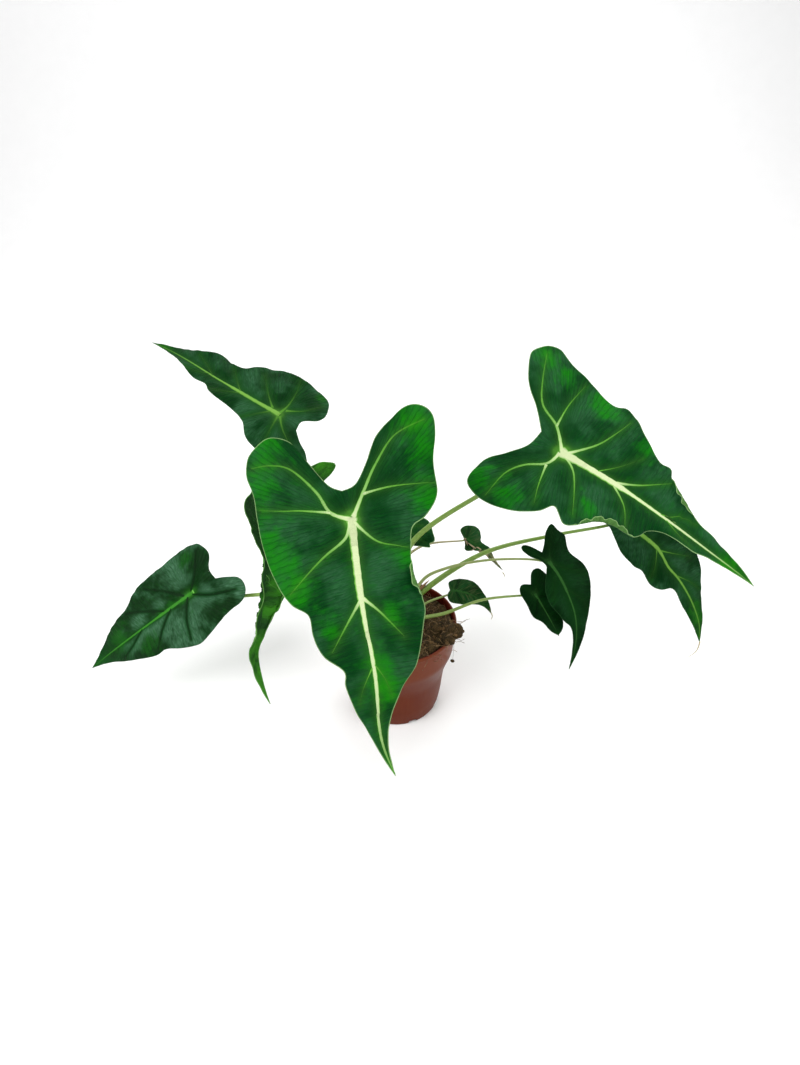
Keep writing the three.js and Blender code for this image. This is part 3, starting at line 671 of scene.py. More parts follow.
def spread_fan(rim, least=0.0015):
    """Keeps the rows round the stalk in order, where the outline runs along one of them."""
    angle = np.arctan2(rim[:, 1], rim[:, 0])
    angle = np.where(angle < -math.pi / 2, angle + 2 * math.pi, angle)
    for i in range(1, len(angle)):
        angle[i] = min(angle[i], angle[i - 1] - least)
    far = np.hypot(rim[:, 0], rim[:, 1])
    return np.stack([far * np.cos(angle), far * np.sin(angle)], -1)


def flat_grid(leaf):
    """Both halves as unique points: u, v, reach, t, row length, and the quads between them."""
    length = leaf_axes(leaf)[0]
    fan, rib, shoulder = leaf["fan"], leaf["rib"], leaf["shoulder"]
    rows = np.arange(fan + rib + 1)
    step = np.maximum(0, rows - fan) / rib
    t = np.where(rows < fan, shoulder * rows / fan, shoulder + (1 - shoulder) * step)
    reach = column_shares(leaf["columns"])
    foot = length * step
    grids = []
    for sign, side in ((1, "left"), (-1, "right")):
        line = smooth_line(leaf[side])
        rim = at_shares(line, t)
        rim[-1] = (length, 0)
        rim[:fan] = spread_fan(rim[:fan])
        u = foot[:, None] + (rim[:, :1] - foot[:, None]) * reach
        v = sign * rim[:, 1:] * reach
        run = np.hypot(rim[:, 0] - foot, rim[:, 1])[:, None]
        row = sign * (5 + t * shares_along(line)[1])[:, None]
        full = np.broadcast_arrays(u, v, reach[None, :], t[:, None], run, row)
        grids.append(np.stack(full, -1))
    both = np.concatenate([g.reshape(-1, 6) for g in grids])
    keys = np.round(both[:, :2] * 500).astype(int)
    _, first, ids = np.unique(keys, axis=0, return_index=True, return_inverse=True)
    ids = ids.reshape(2, len(rows), len(reach))
    quads = []
    for half, grid in enumerate(ids):
        corners = (grid[:-1, :-1], grid[1:, :-1], grid[1:, 1:], grid[:-1, 1:])
        turns = corners if half == 0 else corners[::-1]
        quads.append(np.stack([c.ravel() for c in turns], -1))
    return both[first], np.concatenate(quads)


flat_points, flat_quads = flat_grid(LEAVES[0])
print(LEAVES[0]["name"], "leaf:", len(flat_points), "points and", len(flat_quads), "quads")

# %% [markdown]
# Where the rows meet at the stalk, two corners of a quad are one point, so a quad may be a
# triangle. A point's normal is the sum of those round it, the larger faces counting for more.


# %% Faces and normals
def faces_of(quads):
    """Quads as lists, with a corner dropped where two of them are one point."""
    faces = []
    for quad in quads.tolist():
        face = [c for i, c in enumerate(quad) if c != quad[i - 1]]
        if len(set(face)) == len(face) >= 3:
            faces.append(face)
    return faces


def as_triangles(faces):
    return np.array([(f[0], f[i], f[i + 1]) for f in faces for i in range(1, len(f) - 1)])


def vertex_normals(points, corners):
    a, b, c = (points[corners[:, i]] for i in range(3))
    faces = np.cross(b - a, c - a)
    total = np.zeros_like(points)
    for i in range(3):
        np.add.at(total, corners[:, i], faces)
    return unit(total)


print("faces there:", len(faces_of(flat_quads)))

# %% [markdown]
# ## Veins and what they do to the tissue
#
# A main vein is a firm strand let into the blade: nearly flush above, where the tissue dips
# towards it, and standing out below. The dip is a smooth function of the distance to the nearest
# vein, worked out in the flat leaf.


# %% Distances to the veins
MIDRIB_TAPER = (  # shares of the midrib's length, and its width at each
    (0, 0.05, 0.12, 0.29, 0.35, 0.75, 0.92, 1), (1.5, 1.25, 1.04, 0.98, 0.66, 0.44, 0.26, 0.12),
)
VEIN_STEP = 1.2  # mm from one point of a vein to the next
STRONG = 0.7  # mm, the half width from which a vein draws the tissue down fully


def vein_lines(leaf):
    """Each vein as even points in the flat leaf, with its half width at each."""
    lines = []
    for number, (width, pale, points) in enumerate(leaf["veins"]):
        line = smooth_line(points)
        length = shares_along(line)[1]
        shares = np.linspace(0, 1, max(6, int(length / VEIN_STEP)))
        if number == 0:  # the midrib; a side vein flares where it leaves another
            half = 0.5 * width * np.interp(shares, *MIDRIB_TAPER) ** leaf["taper"]
        else:
            half = 0.42 * width * (0.4 * (1 - shares) ** 2 + 0.35 * (1 - shares) + 0.22)
            half += 0.22 * width * np.exp(-shares * length / 2.5)
        wobble = np.sin(shares * length / 1.1 + 5 * number) + np.sin(shares * length / 0.67)
        half = half * (1 + 0.05 * wobble)
        lines.append((at_shares(line, shares), half, pale, shares, length))
    return lines


def nearest_gap(plan, starts, ends, halves):
    """From each flat point to the nearest stretch's edge, in mm, and which stretch that is."""
    run = ends - starts
    squares = (run**2).sum(1)
    gaps, owners = [], []
    for chunk in np.array_split(plan, max(1, len(plan) // 2000)):
        away = chunk[:, None] - starts
        share = np.clip((away * run).sum(-1) / squares, 0, 1)
        gap = np.linalg.norm(away - share[..., None] * run, axis=-1) - halves
        best = gap.argmin(1)
        gaps.append(np.maximum(0, gap[np.arange(len(chunk)), best]))
        owners.append(best)
    return np.concatenate(gaps), np.concatenate(owners)


def distance_to_veins(plan, lines):
    """The gap to the nearest vein, and how strong that vein is."""
    starts = np.concatenate([line[:-1] for line, *_ in lines])
    ends = np.concatenate([line[1:] for line, *_ in lines])
    halves = np.concatenate([half[:-1] for _, half, *_ in lines])
    gap, owner = nearest_gap(plan, starts, ends, halves)
    return gap, np.minimum(1, halves[owner] / STRONG)


def distance_to_margin(plan, leaf):
    """The true distance to the outline, and the way straight out to it in the flat leaf."""
    starts, ends, ways = [], [], []
    for side, sign in (("left", 1), ("right", -1)):
        line = smooth_line(leaf[side], 8) * (1, sign)
        run = np.diff(line, axis=0)
        moved = np.linalg.norm(run, axis=1) > 1e-6
        starts.append(line[:-1][moved])
        ends.append(line[1:][moved])
        ways.append(sign * unit(run[moved])[:, ::-1] * (-1, 1))
    gap, owner = nearest_gap(plan, np.vstack(starts), np.vstack(ends), 0)
    return gap, np.vstack(ways)[owner]


for leaf in LEAVES[:1]:
    lengths = [length for *_, length in vein_lines(leaf)]
    print(leaf["name"], "leaf:", len(lengths), "main veins,", round(sum(lengths)), "mm in all")

# %% [markdown]
# A margin that rolls over is a strip of the flat leaf wound round a small cylinder, which is why
# its pale underside comes to show. What the roll takes up is given back over the next centimetre,
# so that the tissue beside it isn't stretched.


# %% Rolled margins
RUFFLE = 7.5  # mm from one ruffle of a rolled margin to the next
ROLL = 1.1  # mm, the radius that a margin rolls over with
GIVE = 10  # mm beside the roll that give way to it


def roll_margins(leaf, points, normals, grid, from_margin, way):
    """Winds the stretches of margin in leaf["curls"] round a small cylinder."""
    u, v, reach, t, _, row = grid.T
    outward = lay(leaf, *(grid[:, :2] + 0.1 * way).T, reach, t) - lay(leaf, u, v, reach, t)
    outward = unit(outward - normals * (outward * normals).sum(1)[:, None])
    for side, start, end, width, degrees in leaf["curls"]:
        share = np.clip((t - start) / (end - start), 0, 1)
        on_side = ((v > 0) if side == "left" else (v < 0)) & (share > 0) & (share < 1)
        ruffle = 0.8 + 0.14 * np.sin(2 * math.pi * row / RUFFLE) + 0.08 * np.sin(5 * row)
        strip = width * np.sin(math.pi * share) ** 0.6 * ruffle * on_side
        rolled = np.maximum(0, strip - from_margin)
        angle = np.minimum(rolled / ROLL, math.radians(abs(degrees)))
        past = rolled - ROLL * angle
        out = ROLL * np.sin(angle) + past * np.cos(angle) - rolled
        rise = ROLL * (1 - np.cos(angle)) + past * np.sin(angle)
        spare = strip - ROLL * np.sin(np.minimum(strip / ROLL, math.pi / 2))
        near = np.clip((strip + GIVE - from_margin) / GIVE, 0, 1)
        out += spare * near**2 * (3 - 2 * near)
        rise *= math.copysign(1, degrees)
        points = points + outward * out[:, None] + normals * rise[:, None]
    return points


print("rolled margins:", sum(len(leaf["curls"]) for leaf in LEAVES))

# %% [markdown]
# ## From a sheet to a blade with thickness
#
# Velvet leaves are never flat between their veins. The face dips at each vein, swells between
# them, is tucked in beside the stalk and ripples at its margin. All four are added along the
# normals of the smoothly bent leaf, and only then do the margins roll.


# %% Relief of the upper face
DIP = 0.4  # mm that the tissue dips beside a strong vein
DIP_WIDTH = 2.6  # mm
DIP_FADE = 4  # mm in from the margin, over which the dip comes on
QUILT = 1.0  # mm that the tissue swells between the veins
QUILT_WIDTH = 7  # mm
QUILT_FADE = 12  # mm
PILLOW = 0.45  # mm more or less, unevenly
CALM = 0.16  # share of the margin, from the stalk on, that waves less


def uneven(t, seed):
    """A small irregular ripple along the margin, from -1 to 1."""
    draw = np.random.default_rng(seed)
    waves = [np.sin(2 * math.pi * (n * t + draw.random())) for n in (11, 17, 23, 31)]
    return sum(w * a for w, a in zip(waves, (0.4, 0.3, 0.2, 0.1)))


def pillowed(u, v, seed):
    """A low irregular swelling over the face, from about -1 to 1."""
    draw = np.random.default_rng(seed)
    total = np.zeros_like(u)
    for wavelength in (24, 19, 15, 12, 9.5):
        turn, phase = draw.uniform(0, 2 * math.pi, 2)
        across = u * math.cos(turn) + v * math.sin(turn)
        total += 0.4 * np.sin(2 * math.pi * across / wavelength + phase)
    return total


def blade_surface(leaf, grid, corners, from_margin, way):
    u, v, reach, t, *_ = grid.T
    calm = np.clip(t / CALM, 0, 1)
    points = lay(leaf, u, v, reach * calm, t)
    normals = vertex_normals(points, corners)
    gap, strength = distance_to_veins(grid[:, :2], vein_lines(leaf))
    fade = np.clip(np.minimum(t, 1 - t) * 12, 0, 1)
    seed = len(leaf["name"])
    ripple = leaf["ripple"] * uneven(t, seed) * reach**5 * fade * calm
    dip = DIP * leaf["relief"] * strength * np.exp(-((gap / DIP_WIDTH) ** 2))
    dip = dip * np.clip(from_margin / DIP_FADE, 0, 1)
    quilt_width = QUILT_WIDTH * leaf["valley"] / VALLEY
    between = (1 - np.exp(-((gap / quilt_width) ** 2))) * np.clip(from_margin / QUILT_FADE, 0, 1)
    swelling = between * leaf["relief"] * (QUILT + PILLOW * pillowed(u, v, seed))
    tucked = np.zeros_like(u)
    for x, y, radius, depth in leaf["tucks"]:
        tucked += depth * np.exp(-((u - x) ** 2 + (v - y) ** 2) / radius**2)
    points = points + normals * (ripple - dip + swelling - tucked)[:, None]
    normals = vertex_normals(points, corners)
    return roll_margins(leaf, points, normals, grid, from_margin, way), gap


print("tissue swells by", QUILT, "mm between veins and dips by", DIP, "mm beside them")

# %% [markdown]
# A render forgives a paper-thin leaf, but a part doesn't, so each blade is a closed body. The
# upper face is copied down along its own normals, and the two are joined round the margin by a
# rounded strip.


# %% Close the blade
ROUNDED = 0.28  # of the thickness, that the strip round the margin stands out
THINNING = 3  # mm of margin over which the blade thins


def margin_edges(faces):
    """Edges that one face alone has, in that face's own direction."""
    seen = {}
    for face in faces:
        for a, b in zip(face, face[1:] + face[:1]):
            if (b, a) in seen:
                del seen[(b, a)]
            else:
                seen[(a, b)] = True
    return np.array(list(seen))


def closed_shell(leaf, upper, normals, faces, from_margin):
    """Points and faces of the closed blade, and which of the upper points lie on its rim."""
    thick = leaf["thick"] * (0.55 + 0.45 * np.clip(from_margin / THINNING, 0, 1))
    lower = upper - normals * thick[:, None]
    edges = margin_edges(faces)
    outward = np.zeros_like(upper)
    outside = np.cross(upper[edges[:, 1]] - upper[edges[:, 0]], normals[edges[:, 0]])
    np.add.at(outward, edges[:, 0], outside)
    np.add.at(outward, edges[:, 1], outside)
    rim = np.unique(edges)
    middle = (upper + lower)[rim] / 2 + unit(outward[rim]) * ROUNDED * thick[rim, None]
    count = len(upper)
    place = {p: 2 * count + i for i, p in enumerate(rim.tolist())}
    shell = faces + [[c + count for c in reversed(face)] for face in faces]
    for a, b in edges.tolist():
        shell.append([b, a, place[a], place[b]])
        shell.append([place[b], place[a], a + count, b + count])
    return np.vstack([upper, lower, middle]), shell, rim


print("edges round the flat leaf:", len(margin_edges(faces_of(flat_quads))))

# %% [markdown]
# What the eye reads in a leaf is mostly colour that follows its build, so every point carries a few
# numbers for the material: how far it is under the leaf or on its rim, how bright its painted glow
# is, how near it is to a pale vein (halo) or to a dark one, whose crease is painted darker as
# shade, and where painted grey-green sheen may lie (raised).


# %% Blade with its attributes
MARGIN_LINE = 0.5  # mm of pale line along the margin
# A dark vein's crease is painted darker, as the shade that falls in it.
CREASED = 0.1  # a vein no paler than this shows as a dark crease
CREASE_WIDTH = 0.6  # mm
CREASE_SHADE = 0.8
HALO = 2.0  # mm of lighter green beside a pale vein
WEBBING = 4  # times more of it where the veins meet


def give(mesh, name, values):
    """Stores one number or one vector a vertex on a mesh."""
    values = np.asarray(values, np.float32)
    kind, key = ("FLOAT", "value") if values.ndim == 1 else ("FLOAT_VECTOR", "vector")
    mesh.attributes.new(name, kind, "POINT").data.foreach_set(key, values.ravel())


def glow_of(leaf, u, v):
    total = np.zeros_like(u)
    for x, y, radius in leaf["glow"]:
        total += np.exp(-((u - x) ** 2 + (v - y) ** 2) / radius**2)
    return np.clip(total, 0, 1)


def blade_facts(leaf, grid, gap, from_margin):
    """What the upper points carry; vein, pale and across are for the veins alone."""
    u, v, reach, _, run, row = grid.T
    pale_veins = [line for line in vein_lines(leaf) if line[2] > CREASED]
    beside = distance_to_veins(grid[:, :2], pale_veins)[0]
    shaded_crease = np.exp(-gap / CREASE_WIDTH) * (beside > gap + 0.2)
    # Painted sheen stops past the share bare of the midrib.
    bloomed = 1 - np.clip((u / leaf_axes(leaf)[0] - leaf["bare"]) / 0.2, 0, 1)
    webbing = WEBBING * np.exp(-(u**2 + v**2) / (4 * leaf["ridge"]) ** 2)
    none = np.zeros(len(u))
    return {
        "plan": np.stack([row, reach * run, none], -1),
        "rim": 1 - np.clip(from_margin / MARGIN_LINE, 0, 1),
        "under": none,
        "glow": glow_of(leaf, u, v),
        "crease_shade": CREASE_SHADE * shaded_crease,
        "raised": bloomed * (1 - np.exp(-((gap / leaf["valley"]) ** 2))),
        "halo": np.exp(-beside / HALO) * (1 + webbing),
        "tipward": np.clip(u / leaf_axes(leaf)[0], 0, 1),
        "vein": none,
        "pale": none,
        "across": none,
    }


def blade_mesh(leaf):
    """The closed blade as a mesh, and its upper face for the veins to lie on."""
    grid, quads = flat_grid(leaf)
    faces = faces_of(quads)
    corners = as_triangles(faces)
    from_margin, way = distance_to_margin(grid[:, :2], leaf)
    upper, gap = blade_surface(leaf, grid, corners, from_margin, way)
    normals = vertex_normals(upper, corners)
    points, shell, rim = closed_shell(leaf, upper, normals, faces, from_margin)
    mesh = new_mesh("leaf_" + leaf["name"], points, shell)
    at_rim = {"rim": 1.0, "under": 0.5}
    for name, values in blade_facts(leaf, grid, gap, from_margin).items():
        on_rim = np.full(len(rim), at_rim[name]) if name in at_rim else values[rim]
        below = values + 1 if name == "under" else values
        give(mesh, name, np.concatenate([values, below, on_rim]))
    return mesh, (grid, upper, normals, corners)


# The grids and attributes are tried on the smallest leaf first.
trial, _ = blade_mesh(LEAVES[-1])
print("trial blade:", len(trial.vertices), "points,", len(trial.attributes), "attributes")
bpy.data.meshes.remove(trial)

# %% [markdown]
# ## Running a Geometry Nodes tree
#
# Geometry Nodes build what repeats or follows a path. A tree only changes a mesh while a modifier
# runs it, and the pieces here are kept as plain meshes, so each tree is given its inputs, run once
# over its mesh, and its result is read off. Instances are made real, or they would be lost.


# %% Make, end and run a tree
def new_tree(name, **inputs):
    """A Geometry Nodes tree with named inputs, each given as its default value."""
    tree = bpy.data.node_groups.new(name, "GeometryNodeTree")
    face = tree.interface
    for way in ("INPUT", "OUTPUT"):
        face.new_socket("Geometry", in_out=way, socket_type="NodeSocketGeometry")
    kinds = {int: "Int", float: "Float", type(None): "Material"}
    for key, value in inputs.items():
        kind = "NodeSocket" + kinds[type(value)]
        socket = face.new_socket(key.replace("_", " "), in_out="INPUT", socket_type=kind)
        if value is not None:
            socket.default_value = value
    bench = Bench(tree)
    return bench, bench.add("NodeGroupInput", out=None).outputs


def finish_tree(bench, geometry, material, smooth=True):
    """Ends a tree: smooth faces, real geometry instead of instances, and the material."""
    if smooth:
        inputs = {"Geometry": geometry, "Shade Smooth": True}
        geometry = bench.add("GeometryNodeSetShadeSmooth", inputs)
    real = bench.add("GeometryNodeRealizeInstances", {"Geometry": geometry})
    done = bench.add("GeometryNodeSetMaterial", {"Geometry": real, "Material": material})
    bench.add("NodeGroupOutput", {"Geometry": done}, out=None)
    return bench


def evaluated(made):
    """The object's mesh as its modifiers leave it."""
    graph = bpy.context.evaluated_depsgraph_get()
    return bpy.data.meshes.new_from_object(made.evaluated_get(graph), depsgraph=graph)


def run_tree(bench, mesh, name, **inputs):
    """Runs the tree over a mesh, and returns the result as a plain mesh object called name."""
    carrier = show(mesh)
    modifier = carrier.modifiers.new("nodes", "NODES")
    modifier.node_group = bench.tree
    sockets = bench.tree.interface.items_tree
    identifiers = {s.name: s.identifier for s in sockets if s.in_out == "INPUT"}
    for key, value in inputs.items():
        modifier[identifiers[key.replace("_", " ")]] = value
    made = evaluated(carrier)
    carrier.modifiers.clear()
    bpy.data.objects.remove(carrier)
    for i in reversed(range(len(made.materials))):
        if made.materials[i] is None:
            made.materials.pop(index=i)
    made.name = name
    return show(made)


def triangles(*pieces):
    return sum(len(p.vertices) - 2 for made in pieces for p in made.data.polygons)


print("trees so far:", len(bpy.data.node_groups))

# %% [markdown]
# ## One tree for every strand
#
# Veins, stalks, dried tips and a root hair are all the same thing: a section swept along a path.
# Each path is a chain of vertices that carries its own directions and sizes as attributes. The
# tree turns the chains into curves, sweeps a circle for the topology, and then sets every point
# from those attributes, so that one tree gives a round stalk or a flat vein.


# %% Strand tree
def sweep_circle(bench, sides, radius):
    inputs = {"Resolution": sides, "Radius": radius}
    return bench.add("GeometryNodeCurvePrimitiveCircle", inputs)


def sweep(bench, curve, section):
    inputs = {"Curve": curve, "Profile Curve": section, "Fill Caps": True}
    return bench.add("GeometryNodeCurveToMesh", inputs)


def strand_tree():
    bench, inputs = new_tree("strand", Sides=12, Material=None)
    path = bench.add("GeometryNodeMeshToCurve", {"Mesh": inputs["Geometry"]})
    circle = sweep_circle(bench, inputs["Sides"], 1.0)
    spread = bench.split(bench.add("GeometryNodeInputPosition"))
    ring = circle
    for name, value in (("across", spread["X"]), ("deep", spread["Y"])):
        ring = bench.add(
            "GeometryNodeStoreNamedAttribute", {"Geometry": ring, "Name": name, "Value": value},
            data_type="FLOAT", domain="POINT",
        )
    swept = sweep(bench, path, ring)

    def read(name, kind="FLOAT"):
        return bench.add("GeometryNodeInputNamedAttribute", {"Name": name}, data_type=kind)

    across, deep = read("across"), read("deep")
    above = bench.math("GREATER_THAN", deep, 0.0)
    below = bench.minus(1.0, above)
    depth = bench.plus(bench.times(above, read("top")), bench.times(below, read("bottom")))
    sideways = bench.scaled(read("side", "FLOAT_VECTOR"), bench.times(across, read("half")))
    outwards = bench.scaled(read("lay", "FLOAT_VECTOR"), bench.times(deep, depth))
    centre = read("centre", "FLOAT_VECTOR")
    final = bench.vector("ADD", centre, bench.vector("ADD", sideways, outwards))
    shaped = bench.add("GeometryNodeSetPosition", {"Geometry": swept, "Position": final})
    return finish_tree(bench, shaped, inputs["Material"])


STRAND = strand_tree()


def run_strands(name, chains, sides, material):
    """Sweeps chains of (points, side, lay, half, top, bottom, facts), in mm, into one mesh."""
    points = np.vstack([c[0] for c in chains])
    edges, start = [], 0
    for chain in chains:
        edges += [(start + i, start + i + 1) for i in range(len(chain[0]) - 1)]
        start += len(chain[0])
    mesh = new_mesh(name + "_paths", points, [], edges)
    give(mesh, "centre", points * MM)
    for key, part in (("side", 1), ("lay", 2)):
        give(mesh, key, np.vstack([c[part] for c in chains]))
    for key, part in (("half", 3), ("top", 4), ("bottom", 5)):
        give(mesh, key, np.concatenate([c[part] for c in chains]) * MM)
    for key in chains[0][6]:
        give(mesh, key, np.concatenate([c[6][key] for c in chains]))
    made = run_tree(STRAND, mesh, name, Sides=sides, Material=material)
    for key in ("centre", "side", "lay", "half", "top", "bottom"):
        made.data.attributes.remove(made.data.attributes[key])
    return made


print("strand tree:", len(STRAND.tree.nodes), "nodes")

# %% [markdown]
# ## The skin of a leaf
#
# The upper face is velvety: deep green, almost without gloss, with a soft sheen at a glance that is
# painted in as grey-green on raised tissue, fine striation along the rows, and a painted glow of
# brighter green where light comes through thinner tissue. Main veins are cream with lime edges and
# fade outwards; the underside is paler and duller. One tree mixes all of it from the attributes,
# and is built once for each kind of leaf, with that kind's own colours.


# %% Patterns of a leaf
# Painted sheen: this grey-green on raised tissue stands for light glancing off the velvet.
SHEEN_GREY = (74, 116, 88)  # the grey-green that lies on raised tissue


def leaf_patterns(bench):
    """Streaks and wrinkles follow the rows of the leaf, and clouds and velvet lie anyhow."""
    place = bench.place()
    plan = bench.attribute("plan", "Vector")
    fine = bench.noise(bench.stretched(plan, 1.0, 0.1, 1.0), 1.0, 4.0, 0.65)
    mottle = bench.noise(bench.stretched(plan, 0.15, 0.1, 1.0), 1.0, 3.0, 0.6)
    clouds = bench.noise(place, 45.0, 3.0)
    velvet = bench.noise(place, 2600.0, 2.0)
    wrinkle = bench.noise(bench.stretched(plan, 1.3, 0.25, 1.0), 1.0, 2.0, 0.5)
    rows = bench.split(plan)
    swerve = bench.plus(bench.times(rows["X"], 1.7), bench.times(mottle, 8.0))
    veinlets = bench.step(bench.math("SINE", swerve), 0.6, 1.0)
    veinlets = bench.times(veinlets, bench.step(rows["Y"], 4.0, 18.0))
    return fine, mottle, clouds, velvet, wrinkle, veinlets


def upper_green(bench, look, patterns):
    """The upper face's colour, and how much light comes through it."""
    fine, mottle, clouds, _, wrinkle, veinlets = patterns
    tissue = bench.mix(bench.step(clouds, 0.35, 0.68), look["dark"], look["deep"])
    tissue = bench.mix(bench.step(fine, 0.42, 0.75, 0.0, 0.2), tissue, look["bright"])
    # Painted sheen, patchy, and only on the raised tissue between the veins.
    painted_sheen = bench.times(bench.step(wrinkle, 0.35, 0.7, 0.4, 1.0), bench.step(clouds, 0.4, 0.62))
    painted_sheen = bench.times(painted_sheen, bench.attribute("raised"))
    tissue = bench.mix(bench.times(painted_sheen, look["sheen_share"]), tissue, SHEEN_GREY)
    # Painted glow: brighter green where light comes through thinner tissue, made patchy by the
    # mottle.
    glow = bench.attribute("glow")
    patchy = bench.plus(glow, bench.step(mottle, 0.2, 0.8, -0.4, 0.4))
    lit = bench.times(bench.step(patchy, 0.15, 1.3), 0.8)
    painted_glow = bench.plus(lit, bench.step(mottle, 0.55, 0.8, 0.0, 0.12), clamp=True)
    tissue = bench.mix(painted_glow, tissue, look["bright"])
    towards_tip = bench.step(bench.attribute("tipward"), 0.88, 1.0, 0.0, 0.55)
    tissue = bench.mix(towards_tip, tissue, look["bright"])
    tissue = bench.mix(bench.times(bench.attribute("halo"), 0.12), tissue, look["lime"])
    tissue = bench.mix(bench.times(veinlets, 0.25), tissue, look["dark"])
    # Painted shade: darker along the creases of the dark veins.
    return bench.mix(bench.attribute("crease_shade"), tissue, [c * 0.5 for c in look["dark"]]), lit


print("bloom in linear light:", [round(c, 3) for c in rgb(*SHEEN_GREY)[:3]])

# %% [markdown]
# The rest of the leaf is laid over that green: its duller back, the pale line of its margin, and
# the strands of its veins, lime at their flanks and cream along their middle where they are strong.
# The kinds of leaf differ only in the numbers of the table.


# %% Leaf material
def vein_colour(bench, look, below):
    pale = bench.attribute("pale")
    edge = bench.math("ABSOLUTE", bench.attribute("across"))
    flank = bench.mix(bench.step(pale, 0.0, 0.3), look["dark"], look["lime"])
    core = bench.times(bench.step(pale, 0.3, 0.9), bench.step(edge, 0.95, 0.5))
    strand = bench.mix(core, flank, look["cream"])
    return bench.mix(bench.times(below, 0.7), strand, look["ridge"])


def leaf_skin(kind, look):
    bench = Paint("leaf_skin_" + kind)
    patterns = leaf_patterns(bench)
    fine, _, clouds, velvet, wrinkle, veinlets = patterns
    tissue, lit = upper_green(bench, look, patterns)
    under = look["under"]
    back = bench.mix(bench.step(fine, 0.3, 0.75), under, [c * 0.8 for c in under])
    # The painted glow shows on the back of the leaf as well.
    back = bench.mix(bench.times(lit, 0.9), back, look["bright"])
    below = bench.step(bench.attribute("under"), 0.3, 0.7)
    skin = bench.mix(below, tissue, back)
    rim = bench.times(bench.step(bench.attribute("rim"), 0.1, 0.9), 0.7)
    skin = bench.mix(rim, skin, look["margin"])
    strand = vein_colour(bench, look, below)
    colour = bench.mix(bench.attribute("vein"), skin, strand)
    relief = bench.plus(bench.times(wrinkle, 0.8), bench.times(velvet, 0.2))
    relief = bench.minus(relief, bench.times(veinlets, 0.6))
    bump = bench.bump(relief, 0.7, 0.0007)
    rough = bench.step(clouds, 0.3, 0.7, 0.44, 0.58)
    return bench.coat(colour, rough, Normal=bump, Specular_IOR_Level=look["gloss"])


LOOKS = (
    "deep", "dark", "bright", "under", "ridge",
    "lime", "cream", "margin", "sheen_share", "gloss",
)
# The ninth number of a row is how much painted grey-green sheen lies on raised tissue.
SKIN_TABLE = {
    "grown": (
        (8, 68, 26), (0, 50, 16), (14, 118, 0), (78, 122, 58), (128, 170, 96),
        (98, 168, 54), (202, 216, 166), (146, 182, 120), 0.27, 0.05,
    ),
    "shaded": (
        (8, 60, 22), (0, 40, 10), (20, 92, 8), (84, 122, 62), (112, 160, 84),
        (76, 130, 44), (140, 184, 84), (50, 92, 46), 0.35, 0.04,
    ),
    # The turned leaf's underside colour is painted dark, as the shade that it hangs in.
    "turned": (
        (14, 70, 22), (0, 38, 8), (62, 146, 24), (22, 68, 20), (98, 152, 74),
        (96, 160, 66), (170, 210, 130), (104, 156, 76), 0.5, 0.1,
    ),
    "bloomed": (
        (4, 64, 16), (0, 38, 4), (16, 86, 10), (96, 126, 84), (124, 160, 100),
        (52, 126, 34), (104, 176, 70), (40, 78, 46), 0.8, 0.07,
    ),
    "young": (
        (4, 44, 10), (0, 28, 4), (14, 66, 12), (78, 112, 60), (104, 140, 80),
        (44, 88, 38), (120, 160, 92), (34, 70, 36), 0.08, 0.03,
    ),
    "blushed": (
        (10, 74, 26), (4, 52, 14), (150, 142, 104), (190, 170, 140), (190, 176, 140),
        (44, 88, 38), (120, 160, 92), (60, 90, 56), 0.3, 0.05,
    ),
}
SKINS = {kind: leaf_skin(kind, dict(zip(LOOKS, row))) for kind, row in SKIN_TABLE.items()}
print("leaf skins:", ", ".join(SKINS))

# %% [markdown]
# ## Lay the veins and finish the leaves
#
# A vein is drawn in the flat leaf, so it needs laying on the bent one. The trick is to look the
# point up in a tree of the flat triangles, and to take the same share of the three corners of that
# triangle in space: place and normal come out exact, whatever the bend.


# %% Veins on the blades
def lay_on(flat_tree, corners, plan, points, values):
    """Values of the bent leaf's points at points of the flat leaf."""
    found = []
    for x, y in points:
        spot, _, index, _ = flat_tree.find_nearest(Vector((x, y, 0)))
        a, b, c = (Vector((*plan[i], 0)) for i in corners[index])
        whole = (b - a).cross(c - a).z
        share = ((b - spot).cross(c - spot).z / whole, (c - spot).cross(a - spot).z / whole)
        weights = np.array([share[0], share[1], 1 - share[0] - share[1]])
        found.append(weights @ values[corners[index]])
    return np.array(found)


